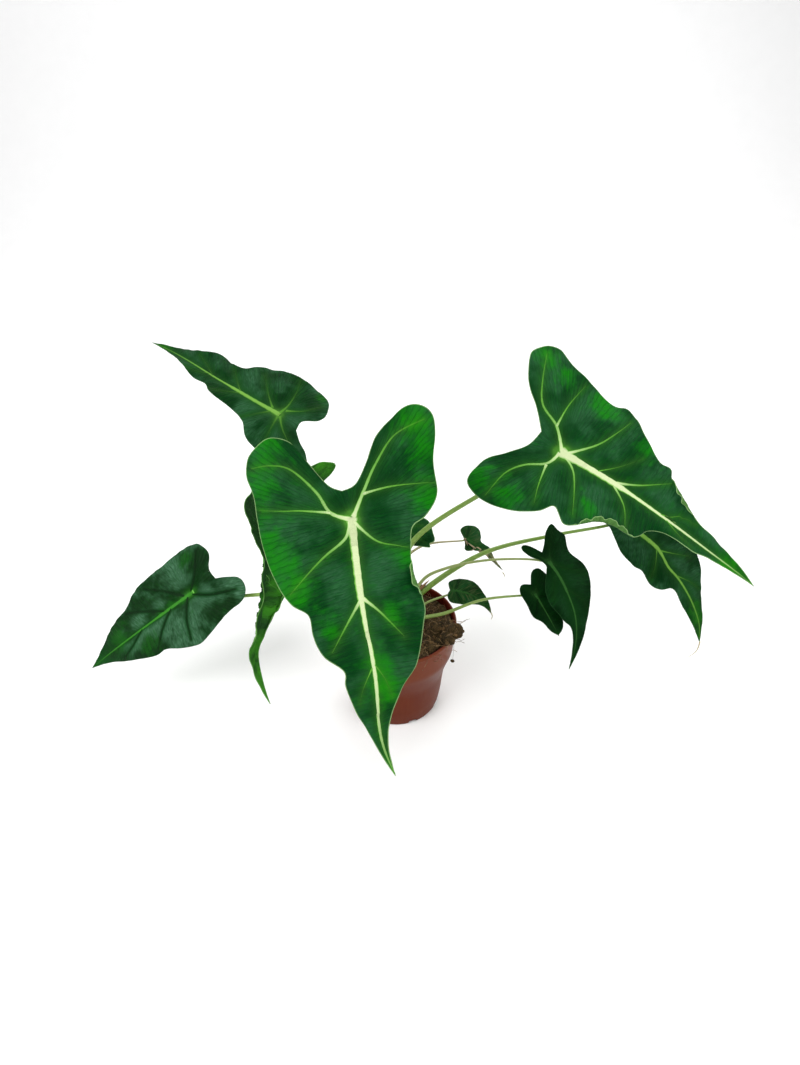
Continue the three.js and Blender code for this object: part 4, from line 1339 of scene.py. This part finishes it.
def vein_chains(leaf, surface):
    grid, upper, normals, corners = surface
    plan = grid[:, :2]
    flat = BVHTree.FromPolygons([(*p, 0) for p in plan.tolist()], corners.tolist())
    values = np.hstack([upper, normals, grid[:, [5]], (grid[:, 2] * grid[:, 4])[:, None]])
    thick = leaf["thick"]
    chains = []
    for number, (line, half, pale, shares, length) in enumerate(vein_lines(leaf)):
        found = lay_on(flat, corners, plan, line, values)
        points, lift = found[:, :3], unit(found[:, 3:6])
        side = unit(np.cross(lift, unit(np.gradient(points, axis=0))))
        top = 0.1 + 0.05 * half
        if number == 0:
            bottom = thick + leaf["ridge"] * (1 - 0.75 * shares)
        else:
            bottom = thick + 0.65 * half
        leaving = (0.62 + 0.38 * np.exp(-shares * length / 7)) * (1 - 0.6 * shares)
        close = np.minimum(1, (1 - shares) * length / 3) ** 0.5
        bottom = bottom * (0.4 + 0.6 * close)
        facts = {
            "vein": 1 - 0.5 * shares**6 if number == 0 else 1 - 0.8 * shares**1.3,
            "pale": pale * (1 - 0.6 * shares**2.5 if number == 0 else leaving),
            "plan": np.stack([found[:, 6], found[:, 7], 0 * shares], -1),
            "tipward": np.clip(line[:, 0] / leaf_axes(leaf)[0], 0, 1),
            "glow": glow_of(leaf, *line.T),
            "halo": np.ones(len(shares)),
            "rim": 0 * shares,
            # dark veins carry the painted crease shade too
            "crease_shade": 0 * shares + 0.6 * (pale <= CREASED),
            "raised": 0 * shares,
        }
        chains.append((points, side, lift, half, top, bottom, facts))
    return chains


flat_midrib = vein_lines(LEAVES[0])[0][0]
print("midrib of the", LEAVES[0]["name"], "leaf:", len(flat_midrib), "points to lay")

# %% [markdown]
# Now every leaf can be made: blade, veins in the same skin, and the two joined as one piece.


# %% Finish the leaves
VEIN_SIDES = 12


def joined(name, first, *others):
    """Joins objects into the first, and gives it the name."""
    bpy.ops.object.select_all(action="DESELECT")
    for part in (first, *others):
        part.select_set(True)
    bpy.context.view_layer.objects.active = first
    bpy.ops.object.join()
    first.name = first.data.name = name
    return first


leaves = {}
for leaf in LEAVES:
    mesh, surface = blade_mesh(leaf)
    skin = SKINS[leaf["skin"]]
    mesh.materials.append(skin)
    sheet = show(mesh)
    veins = run_strands(leaf["name"] + "_veins", vein_chains(leaf, surface), VEIN_SIDES, skin)
    deep = np.zeros(len(veins.data.vertices), np.float32)
    veins.data.attributes["deep"].data.foreach_get("value", deep)
    give(veins.data, "under", (deep < -0.05).astype(float))
    veins.data.attributes.remove(veins.data.attributes["deep"])
    leaves[leaf["name"]] = joined("leaf_" + leaf["name"], sheet, veins)
    print("leaf", leaf["name"], triangles(leaves[leaf["name"]]), "triangles")

# %% [markdown]
# ## The stalks
#
# Each leaf hangs on its own stalk, which comes straight out of the soil, thins as it climbs and
# meets the underside of the blade square on. The path repeats the solid's: a centripetal
# Catmull-Rom curve through its way-points, which never overshoots where they lie unevenly.

# %% Stalk paths
GAP = 0.35  # mm between a stalk's solid and its leaf's
STALK_DEPTH = 13  # mm of stalk in the soil
STALK_RISE = 4  # mm of it that leave the soil upright
STALK_STEP = 2.5  # mm from one point of a stalk to the next
SLACK = 0.1  # mm more below the midrib
SOIL_RADIUS = 42  # mm
SOIL_LOW = 69.5  # mm, the soil where it is lowest
HEAP = 9.5  # mm more where it is heaped up
HEAP_WAY = 48  # degrees clockwise from x to the heap


def soil_level(x, y):
    outward = min(1, math.hypot(x, y) / SOIL_RADIUS)
    heaped = 0.5 + 0.5 * math.cos(math.atan2(y, x) + math.radians(HEAP_WAY)) * outward
    return SOIL_LOW + HEAP * heaped


def centripetal_line(points, each=16):
    p = np.array(points, float)
    p = np.vstack([2 * p[0] - p[1], p, 2 * p[-1] - p[-2]])
    line = []
    for a, b, c, d in zip(p, p[1:], p[2:], p[3:]):
        first, middle, last = (np.linalg.norm(n) ** 0.5 for n in (b - a, c - b, d - c))
        start = ((b - a) / first - (c - a) / (first + middle) + (c - b) / middle) * middle
        end = ((c - b) / middle - (d - b) / (middle + last) + (d - c) / last) * middle
        for t in np.linspace(0, 1, each, endpoint=False):
            bend = (-3 * b + 3 * c - 2 * start - end) * t**2 + (2 * b - 2 * c + start + end) * t**3
            line.append(b + start * t + bend)
    return np.array([*line, p[-2]])


def stalk_line(leaf):
    """The stalk's path in even steps, with the share passed at each point."""
    level = soil_level(*leaf["base"])
    two = np.array([1.0, 0.0])
    none = np.zeros(2)
    ahead, here = lay(leaf, two, none, none, none + 0.5)
    square = unit(np.cross(ahead - here, leaf_axes(leaf)[2]))
    end = leaf["solid"] + leaf["ridge"] + GAP + SLACK
    junction = np.array(leaf["junction"], float)
    way = [
        (*leaf["base"], level - STALK_DEPTH), (*leaf["base"], level + STALK_RISE), *leaf["via"],
        junction - square * (end + leaf["arrival"]), junction - square * end,
    ]
    line = centripetal_line(way)
    shares = np.linspace(0, 1, int(shares_along(line)[1] / STALK_STEP))
    even = at_shares(line, shares)
    seat = junction - square * leaf["thick"]
    return np.vstack([even, seat]), np.append(shares, 1.0)


lengths = [shares_along(stalk_line(leaf)[0])[1] for leaf in LEAVES]
print("stalks from", round(min(lengths)), "to", round(max(lengths)), "mm long")

# %% [markdown]
# The strand tree sweeps a stalk too. It only asks for the two directions across the path, and those
# are carried along it evenly, so that the pattern on the stalk doesn't twist.


# %% Stalks as chains
TAPER = 1.6  # past 1, a stalk thins sooner than evenly
FLARE = 0.35  # of the radius, that a stalk widens by where it meets its blade
FLARE_LENGTH = 2.2  # mm


def carried_sides(line):
    """A direction square to the path, carried along it without twist."""
    run = unit(np.gradient(line, axis=0))
    side = unit(np.cross(run[0], (0.3, 1, 0.2)))
    sides = []
    for forward in run:
        side = unit(side - forward * (side @ forward))
        sides.append(side)
    return np.array(sides), np.cross(run, np.array(sides))


def round_chain(line, radius, above=1, below=1, **facts):
    """A chain that is swept round, or flatter above and below."""
    return line, *carried_sides(line), radius, above * radius, below * radius, facts


def stalk_radius(leaf, shares):
    base, top = leaf["radii"]
    return top + (base - top) * (1 - shares) ** TAPER


def stalk_chain(leaf, tone):
    line, shares = stalk_line(leaf)
    length = shares_along(line)[1]
    radius = stalk_radius(leaf, shares)
    radius = radius * (1 + FLARE * np.exp(-(1 - shares) * length / FLARE_LENGTH))
    return round_chain(line, radius, along=shares * length, share=shares, tone=tone + 0 * shares)


print("points in the first stalk's chain:", len(stalk_chain(LEAVES[0], 0)[0]))

# %% [markdown]
# A leaf stalk is smooth and a little waxy, olive with fine lengthwise lines and brown flecks,
# pinkish where it leaves the soil. The pattern follows the stalk: its vector is made of the two
# directions across the stalk and, much slower, of the length passed.

# %% Stalk material
bench = Paint("stalk_skin")
across, deep = bench.attribute("across"), bench.attribute("deep")
slow = bench.times(bench.attribute("along"), 0.05)
round_it = bench.add("ShaderNodeCombineXYZ", {0: across, 1: deep, 2: slow})
lines = bench.noise(round_it, 6.0, 4.0)
flecks = bench.noise(bench.vector("MULTIPLY", round_it, (5, 5, 9)), 2.2, 2.0, 0.4)
share = bench.attribute("share")
olive = bench.mix(bench.step(lines, 0.3, 0.7), (90, 132, 36), (130, 164, 62))
blush = bench.mix(lines, (160, 140, 104), (196, 186, 150))
colour = bench.mix(bench.attribute("tone"), olive, blush)
colour = bench.mix(bench.step(share, 0.16, 0.02, 0.0, 0.75), colour, (150, 118, 88))
colour = bench.mix(bench.step(share, 0.9, 1.0, 0.0, 0.6), colour, (130, 172, 70))
colour = bench.mix(bench.step(flecks, 0.62, 0.72, 0.0, 0.6), colour, (112, 92, 54))
bump = bench.bump(lines, 0.4, 0.0003)
stalk_skin = bench.coat(colour, 0.42, Normal=bump, Coat_Weight=0.08, Coat_Roughness=0.3)

STALK_SIDES = 18
BLUSH = {"young_back": 0.85, "young_right": 0.35, "young_rim": 0.3, "young_right_low": 0.15}
stalks = {}
for leaf in LEAVES:
    name = leaf["name"]
    chain = stalk_chain(leaf, BLUSH.get(name, 0.05))
    stalks[name] = run_strands("petiole_" + name, [chain], STALK_SIDES, stalk_skin)
print("stalks:", len(stalks), "with", triangles(*stalks.values()), "triangles")

# %% [markdown]
# ## Sheaths at the foot
#
# Where a stalk leaves the soil it is still clasped by the papery sheath that it grew out of. Each
# is a partial tube round its stalk, with a pointed top that stands off a little and has dried
# brown. It is thin, but has two faces and an edge all round.


# %% Papery sheaths
SHEATH_GAP = 0.25  # mm between a stalk and its sheath
STAND_OFF = 1.5  # mm more at the sheath's top
TUCKED_IN = 4  # mm of sheath below the soil


def weld(mesh, apart):
    """Makes one point of those closer than this, in metres."""
    shell = bmesh.new()
    shell.from_mesh(mesh)
    bmesh.ops.remove_doubles(shell, verts=shell.verts, dist=apart)
    shell.to_mesh(mesh)
    shell.free()


def sheath_shell(leaf, height, facing, half_turn=1.35, rows=16, columns=12, thick=0.3):
    line, shares = stalk_line(leaf)
    side, out = carried_sides(line)
    length = shares_along(line)[1]
    start = STALK_DEPTH - TUCKED_IN
    points, tips = [], []
    for layer in (0, thick):
        for i in range(rows + 1):
            s = i / rows
            along = (start + s * (height + TUCKED_IN)) / length
            centre, across, away = (
                np.array([np.interp(along, shares[:-1], part[:-1, k]) for k in range(3)])
                for part in (line, side, out)
            )
            radius = stalk_radius(leaf, along) + SHEATH_GAP + STAND_OFF * s**3 + layer
            for j in range(columns + 1):
                q = 2 * j / columns - 1
                turn = facing + q * half_turn * (1 - s**2.4) ** 0.8
                ragged = 2 * s * (1 - s) * math.sin(7 * q + 3 * facing)
                place = centre + radius * (math.cos(turn) * across + math.sin(turn) * away)
                points.append(place + (0, 0, ragged))
                tips.append(s)
    count = (rows + 1) * (columns + 1)
    wide = columns + 1
    faces = []
    for i in range(rows):
        for j in range(columns):
            a = i * wide + j
            quad = (a, a + 1, a + wide + 1, a + wide)
            faces += [[c + count for c in quad], list(reversed(quad))]
    for a, b in margin_edges([f for f in faces if max(f) < count]).tolist():
        faces.append([b, a, a + count, b + count])
    mesh = new_mesh("sheath", points, faces)
    give(mesh, "tip", tips)
    weld(mesh, 2e-6)
    return mesh


bench = Paint("dry_sheath")
lines = bench.noise(bench.vector("MULTIPLY", bench.place(), (1, 1, 0.12)), 900.0, 3.0)
colour = bench.mix(bench.step(bench.attribute("tip"), 0.2, 0.9), (150, 140, 92), (134, 98, 62))
colour = bench.mix(bench.step(lines, 0.35, 0.7, 0.0, 0.6), colour, (98, 70, 44))
bump = bench.bump(lines, 0.5, 0.0005)
paper_skin = bench.coat(colour, 0.7, Normal=bump)

by_name = {leaf["name"]: leaf for leaf in LEAVES}
SHEATHS = [  # the leaf, the sheath's height in mm, and which way it faces in radians
    ("front", 34, 4.4), ("right", 40, 1.2), ("back_left", 36, 3.0), ("left", 30, 3.6),
    ("lower_right", 38, 0.4), ("low_left", 24, 2.6), ("young_right", 26, 5.6),
]
parts = [show(sheath_shell(by_name[name], *rest)) for name, *rest in SHEATHS]
sheaths = joined("stalk_sheaths", *parts)
wear(sheaths, paper_skin)
print("sheaths:", len(SHEATHS), "with", triangles(sheaths), "triangles")

# %% [markdown]
# Three of the leaves have let their long tip dry to a thread. A strand does for it again, swept
# along a short route from the tip and thinning to nothing much.

# %% Dried tips
TAILS = {
    "lower_right": [(0, 0, 0.5), (-0.5, -1.5, -4), (-2.5, -3, -8), (-7, -4, -12)],
    "young_back": [(0, 0, 0.5), (1.4, -0.6, -1.6), (2.2, -1.2, -4.5)],
    "young_rim": [(0, 0, 0.5), (0.8, -0.6, -2), (0.1, -1.2, -4.5)],
}


def tail_chain(name, route):
    line = np.array(by_name[name]["tip"]) + smooth_line(route, 8)
    return round_chain(line, np.linspace(0.5, 0.12, len(line)))


bench = Paint("dry_thread")
grain = bench.noise(bench.place(), 700.0)
dry = bench.coat(bench.mix(grain, (150, 150, 96), (176, 150, 112)), 0.6)
dry_tips = run_strands("dry_tips", [tail_chain(*item) for item in TAILS.items()], 6, dry)
print("dried tips:", len(TAILS))

# %% [markdown]
# ## The pot
#
# A nursery pot is blown or moulded thin, with a collar that lets pots stack. Its wall is a profile
# turned about the axis. Fine steps round the axis keep the rim round up close, and every corner of
# the profile is eased as a mould's would be.

# %% Pot profile and wall
POT_PROFILE = [
    (0, 0.7), (14, 0.7), (15, 0), (32.7, 0), (33.63, 0.8), (35.4, 12, 5), (37.5, 37, 5),
    (40.4, 48, 4), (43.6, 58, 3), (44, 76.8), (45, 77.4), (45, 79.4), (44.4, 80), (43.3, 80),
    (42.8, 79), (42.6, 76.8), (42.2, 58, 3), (39, 48, 4), (36.1, 37, 5), (34, 12, 5), (32.4, 1.8),
    (6, 1.8), (5, 2.3), (0, 2.3),
]
EASE = 0.45  # mm from a corner to where its rounding starts, unless the profile says how far
EASE_MOST = 0.45  # of an edge's length


def eased(profile, steps=5):
    """Each inner corner of the profile rounded, from as far out as its third number says."""
    reach = [p[2] if len(p) > 2 else EASE for p in profile]
    p = [np.array(q[:2], float) for q in profile]
    out = [p[0]]
    for a, b, c, r in zip(p, p[1:], p[2:], reach[1:]):
        start = b + (a - b) * min(r / np.linalg.norm(a - b), EASE_MOST)
        end = b + (c - b) * min(r / np.linalg.norm(c - b), EASE_MOST)
        for t in np.linspace(0, 1, steps):
            out.append((1 - t) ** 2 * start + 2 * t * (1 - t) * b + t * t * end)
    return [*out, p[-1]]


def turned_wall(profile, spokes=144):
    points, rings = [], []
    for radius, z in profile:
        count = 1 if radius < 1e-6 else spokes
        rings.append([len(points) + j for j in range(count)])
        for j in range(count):
            angle = 2 * math.pi * j / spokes
            points.append((radius * math.cos(angle), radius * math.sin(angle), z))
    faces = []
    for lower, upper in zip(rings, rings[1:]):
        for j in range(spokes):
            a, b = lower[j % len(lower)], lower[(j + 1) % len(lower)]
            c, d = upper[(j + 1) % len(upper)], upper[j % len(upper)]
            faces.append(list(dict.fromkeys((a, b, c, d))))
    return new_mesh("pot_shell", points, faces, smooth=False)


pot = show(turned_wall(eased(POT_PROFILE)))
print("turned wall:", len(pot.data.vertices), "points")

# %% [markdown]
# Slots at the foot let the water out. All of them are cut at once, by a Boolean with one block a
# slot. The outer face is then told from the inner by its distance from the axis, because the two
# are coloured apart.


# %% Drain slots
POT_WALL = [  # the outer face, as (radius, height)
    (33.5, 0), (35.4, 12), (37.5, 37), (40.4, 48), (43.6, 58), (44, 76.8), (45, 77.4), (45, 80),
]
INSIDE = 0.9  # mm under the outer face, where the inner colour starts
SHARP = 35  # degrees between two faces that stay a crease


def slot_cutters(count=8, width=7, height=3.2, depth=7, radius=32.4, corner=1.2):
    """One block with rounded edges a slot, from below the base up into the wall."""
    far = width / 2 - corner
    low, high = corner - 1, height - corner
    section = []
    for y, z, start in ((far, high, 0), (-far, high, 90), (-far, low, 180), (far, low, 270)):
        for turn in np.radians(start + np.linspace(0, 90, 5)):
            section.append((y + corner * math.cos(turn), z + corner * math.sin(turn)))
    around = len(section)
    points, faces = [], []
    for i in range(count):
        c, s = (f(2 * math.pi * (i + 0.5) / count) for f in (math.cos, math.sin))
        first = len(points)
        for x in (radius - depth / 2, radius + depth / 2):
            points += [(x * c - y * s, x * s + y * c, z) for y, z in section]
        for j in range(around):
            k = (j + 1) % around
            faces.append([first + j, first + k, first + around + k, first + around + j])
        faces.append([first + j for j in reversed(range(around))])
        faces.append([first + around + j for j in range(around)])
    return new_mesh("slot_cutters", points, faces, smooth=False)


def baked(made):
    """The object with its modifiers applied."""
    mesh = evaluated(made)
    made.modifiers.clear()
    mesh.name = made.data.name
    made.data = mesh
    return made


cutters = show(slot_cutters())
cut = pot.modifiers.new("slots", "BOOLEAN")
cut.object = cutters
cut.solver = "EXACT"
pot = baked(pot)
bpy.data.objects.remove(cutters)
pot.data.polygons.foreach_set("use_smooth", [True] * len(pot.data.polygons))
pot.data.set_sharp_from_angle(angle=math.radians(SHARP))
spots = np.array([v.co for v in pot.data.vertices]) / MM
wall_now = np.interp(spots[:, 2], *reversed(np.transpose(POT_WALL)))
give(pot.data, "inside", np.hypot(spots[:, 0], spots[:, 1]) < wall_now - INSIDE)
print("pot:", triangles(pot), "triangles")

# %% [markdown]
# The plastic is a warm terracotta brown and satin; painted shade makes the inner wall darker and a
# little redder, and a painted highlight makes the flaring collar lighter. Moulding leaves faint
# upright flow lines, handling leaves scuffs on the collar, and the compost leaves dust that is
# thickest near the rim.

# %% Pot material
bench = Paint("pot_plastic")
place = bench.place()
height = bench.split(place)["Z"]
cloud = bench.noise(place, 28.0, 3.0)
grain = bench.noise(place, 1500.0, 2.0)
flow = bench.noise(bench.vector("MULTIPLY", place, (1, 1, 0.05)), 420.0, 3.0)
scuff = bench.noise(bench.vector("MULTIPLY", place, (1, 1, 4)), 260.0, 5.0, 0.7)
colour = bench.mix(bench.step(cloud, 0.3, 0.7), (88, 30, 6), (96, 36, 10))
colour = bench.mix(bench.step(flow, 0.4, 0.75, 0.0, 0.25), colour, (106, 50, 20))
# Painted highlight: the flaring collar is lighter, where light falls on it.
lit_collar = bench.step(height, 0.05, 0.062, 0.0, 0.45)
colour = bench.mix(lit_collar, colour, (122, 66, 42))
dust = bench.times(bench.step(scuff, 0.52, 0.7), bench.step(height, 0.06, 0.08))
colour = bench.mix(bench.times(dust, 0.3), colour, (70, 44, 30))
rubbed = bench.times(bench.step(scuff, 0.6, 0.72, 0.0, 0.3), bench.step(height, 0.0765, 0.078))
colour = bench.mix(rubbed, colour, (150, 96, 72))
# Painted shade: the inner wall is darker and a little redder.
colour = bench.mix(bench.attribute("inside"), colour, bench.mix(cloud, (74, 18, 8), (96, 30, 16)))
relief = bench.plus(bench.times(grain, 0.35), bench.times(flow, 0.5))
bump = bench.bump(relief, 0.25, 0.0004)
rough = bench.step(cloud, 0.3, 0.7, 0.34, 0.42)
wear(pot, bench.coat(colour, rough, Normal=bump, Specular_IOR_Level=0.08))
print("pot plastic:", len(bench.tree.nodes), "nodes")

# %% [markdown]
# ## Compost
#
# Potting compost is a crust of lumps with crumbs and fibres on it. Modelling each grain by hand is
# hopeless, so it comes in three layers. First, the solid's own surface is remeshed finely and
# roughened by noise.

# %% Rough bed
TOP_LEVEL = 0.066  # metres; below this the bed lies against the wall and stays smooth
COMING_ON = 0.003  # metres above that, over which the roughness comes on


def soil_bed_mesh(voxel=0.95 * MM):
    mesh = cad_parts["soil"].data.copy()
    weld(mesh, 1e-6)
    mesh.materials.clear()
    carrier = show(mesh)
    remesh = carrier.modifiers.new("even_faces", "REMESH")
    remesh.mode = "VOXEL"
    remesh.voxel_size = voxel
    carrier = baked(carrier)
    mesh = carrier.data
    bpy.data.objects.remove(carrier)
    return mesh


def roughen_tree():
    bench, inputs = new_tree("roughen", Lump_height=0.003, Grain_height=0.0012, Material=None)
    place = bench.add("GeometryNodeInputPosition")
    lumps = bench.noise(place, 170.0, 2.0)
    grains = bench.noise(place, 620.0, 3.0, 0.6)
    height = bench.plus(
        bench.times(bench.minus(lumps, 0.52), inputs["Lump height"]),
        bench.times(bench.minus(grains, 0.5), inputs["Grain height"]),
    )
    z = bench.split(place)["Z"]
    fade = {"Value": z, "From Min": TOP_LEVEL, "From Max": TOP_LEVEL + COMING_ON}
    free = bench.add("ShaderNodeMapRange", fade)
    normal = bench.add("GeometryNodeInputNormal")
    offset = bench.scaled(normal, bench.times(height, free))
    moved = bench.add("GeometryNodeSetPosition", {"Geometry": inputs["Geometry"], "Offset": offset})
    return finish_tree(bench, moved, inputs["Material"])


bench = Paint("compost")
place = bench.place()
lumps = bench.noise(place, 190.0, 4.0, 0.6)
specks = bench.noise(place, 1300.0, 3.0, 0.7)
shade = bench.attribute("shade")
colour = bench.mix(bench.step(lumps, 0.3, 0.7), (32, 26, 10), (74, 58, 32))
colour = bench.mix(bench.step(specks, 0.5, 0.72, 0.0, 0.7), colour, (118, 90, 60))
colour = bench.mix(bench.times(shade, 0.75), colour, (128, 98, 64))
bump = bench.bump(specks, 0.8, 0.001)
soil_skin = bench.coat(colour, 0.95, Normal=bump, Specular_IOR_Level=0.2)

soil_bed = run_tree(roughen_tree(), soil_bed_mesh(), "soil_bed", Material=soil_skin)
print("soil bed:", triangles(soil_bed), "triangles")

# %% [markdown]
# Second, crumbs are scattered over the open top of the bed. One dented ball is enough, because each
# copy is turned, stretched and sized at random; many are small and few are large.


# %% Crumbs
FULL_TURN = 6.28  # radians


def scattered(bench, geometry, density, seed, lowest_normal):
    """Points on the open top of the bed."""
    up = bench.split(bench.add("GeometryNodeInputNormal"))["Z"]
    z = bench.split(bench.add("GeometryNodeInputPosition"))["Z"]
    facing = bench.math("GREATER_THAN", up, lowest_normal)
    open_top = bench.times(facing, bench.math("GREATER_THAN", z, TOP_LEVEL))
    return bench.add(
        "GeometryNodeDistributePointsOnFaces",
        {"Mesh": geometry, "Selection": open_top, "Density": density, "Seed": seed},
        distribute_method="RANDOM",
    )


def random_value(bench, kind, low, high, seed):
    """A random float or vector; its sockets are told apart by their type."""
    slots = {"FLOAT": (2, 3, 1), "FLOAT_VECTOR": (0, 1, 0)}[kind]
    inputs = {slots[0]: low, slots[1]: high, "Seed": seed}
    return bench.add("FunctionNodeRandomValue", inputs, out=slots[2], data_type=kind)


def instances(bench, points, instance, turn, size):
    inputs = {"Points": points, "Instance": instance, "Rotation": turn, "Scale": size}
    return bench.add("GeometryNodeInstanceOnPoints", inputs)


def crumbs_tree(seed=11):
    sizes = {"Smallest": 0.00035, "Largest": 0.0019}
    bench, inputs = new_tree("crumbs", Density=150000.0, **sizes, Material=None)
    points = scattered(bench, inputs["Geometry"], inputs["Density"], seed, -0.1)
    ball = bench.add("GeometryNodeMeshIcoSphere", {"Radius": 1.0, "Subdivisions": 2})
    dents = bench.noise(bench.add("GeometryNodeInputPosition"), 1.3, 2.0)
    push = bench.scaled(bench.add("GeometryNodeInputNormal"), bench.minus(dents, 0.6))
    push = bench.scaled(push, 1.6)
    lump = bench.add("GeometryNodeSetPosition", {"Geometry": ball, "Offset": push})
    draw = random_value(bench, "FLOAT", 0.0, 1.0, seed + 1)
    few_large = bench.math("POWER", draw, 3.0)
    spread = {"Value": few_large, "To Min": inputs["Smallest"], "To Max": inputs["Largest"]}
    size = bench.add("ShaderNodeMapRange", spread)
    stretch = random_value(bench, "FLOAT_VECTOR", (0.7, 0.7, 0.5), (1.3, 1.1, 0.9), seed + 2)
    turn = random_value(bench, "FLOAT_VECTOR", (0, 0, 0), (FULL_TURN,) * 3, seed + 3)
    placed = instances(bench, points, lump, turn, bench.scaled(stretch, size))
    shade = random_value(bench, "FLOAT", 0.0, 1.0, seed + 4)
    shaded = bench.add(
        "GeometryNodeStoreNamedAttribute", {"Geometry": placed, "Name": "shade", "Value": shade},
        data_type="FLOAT", domain="INSTANCE",
    )
    return finish_tree(bench, shaded, inputs["Material"], smooth=False)


bed_copy = soil_bed.data.copy()
crumbs = run_tree(crumbs_tree(), bed_copy, "soil_crumbs", Material=soil_skin)
print("crumbs:", triangles(crumbs), "triangles")

# %% [markdown]
# Third come the fibres of coir. They start as straight lines, are bent all together by one noise
# field, so that neighbours lie alike, and only then are given a thickness.


# %% Fibres
BEND = 0.009  # metres that the field can carry a fibre's points along
MIDDLE = (0.5, 0.5, 0.42)  # taken off the field, low in z so that it lifts the fibres slightly


def fibres_tree(seed=29):
    sizes = {"Length": 0.009, "Thickness": 0.00015}
    bench, inputs = new_tree("fibres", Density=48000.0, **sizes, Material=None)
    points = scattered(bench, inputs["Geometry"], inputs["Density"], seed, -0.3)
    reach = bench.add("ShaderNodeCombineXYZ", {0: inputs["Length"]})
    line = bench.add("GeometryNodeCurvePrimitiveLine", {"End": reach})
    line = bench.add("GeometryNodeResampleCurve", {"Curve": line, "Count": 9})
    turn = random_value(bench, "FLOAT_VECTOR", (0, -0.75, 0), (0, 0.35, FULL_TURN), seed + 1)
    long = random_value(bench, "FLOAT", 0.35, 1.2, seed + 2)
    placed = instances(bench, points, line, turn, long)
    real = bench.add("GeometryNodeRealizeInstances", {"Geometry": placed})
    place = bench.add("GeometryNodeInputPosition")
    field = bench.add("ShaderNodeTexNoise", {"Vector": place, "Scale": 190.0}, out=1)
    bend = bench.scaled(bench.vector("SUBTRACT", field, MIDDLE), BEND)
    bent = bench.add("GeometryNodeSetPosition", {"Geometry": real, "Offset": bend})
    section = sweep_circle(bench, 4, inputs["Thickness"])
    swept = sweep(bench, bent, section)
    return finish_tree(bench, swept, inputs["Material"])


bench = Paint("coir_fibre")
grain = bench.step(bench.noise(bench.place(), 260.0), 0.3, 0.7)
fibre_skin = bench.coat(bench.mix(grain, (58, 42, 26), (150, 120, 80)), 0.85)

fibres = run_tree(fibres_tree(), bed_copy, "soil_fibres", Material=fibre_skin)
print("fibres:", triangles(fibres), "triangles")

# %% [markdown]
# One crumb has been washed over the rim and hangs from the spilled lump by a root hair.

# %% Hanging crumb
thread = smooth_line([(41.7, -21.5, 77), (41.9, -21.6, 68), (41.7, -21.5, 59)], 8)
hair = round_chain(thread, np.full(len(thread), 0.08))
grain_line = smooth_line([(41.7, -21.5, 59.6), (41.5, -21.6, 58.4), (41.4, -21.4, 57)], 6)
swell = 0.2 + 1.45 * np.sin(math.pi * np.linspace(0.05, 0.95, len(grain_line)))
crumb = round_chain(grain_line, swell, 0.8, 0.7)
hanging = run_strands("hanging_crumb", [hair, crumb], 8, soil_skin)
print("hanging crumb:", triangles(hanging), "triangles")

# %% [markdown]
# ## Hand everything to the frame
#
# Each piece rides on the one body, and the solid that a piece replaces is hidden. Last, the
# triangles of all the pieces shown are counted.


# %% Ride, replace and measure
def hand_over(piece, slot, *nodes):
    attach(piece, "root")
    if nodes:
        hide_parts(*nodes)


for name, piece in leaves.items():
    hand_over(piece, "blade", "blade_" + name)
for name, piece in stalks.items():
    hand_over(piece, "stalk", "stalk_" + name)
hand_over(pot, "pot", "pot")
hand_over(soil_bed, "soil", "soil")
hand_over(crumbs, "soil")
hand_over(fibres, "soil")
hand_over(hanging, "soil")
hand_over(sheaths, "stalk")
hand_over(dry_tips, "blade")

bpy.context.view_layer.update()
shown = [o for o in bpy.context.scene.objects if o.type == "MESH" and not o.hide_render]
print("all pieces:", triangles(*shown), "triangles")
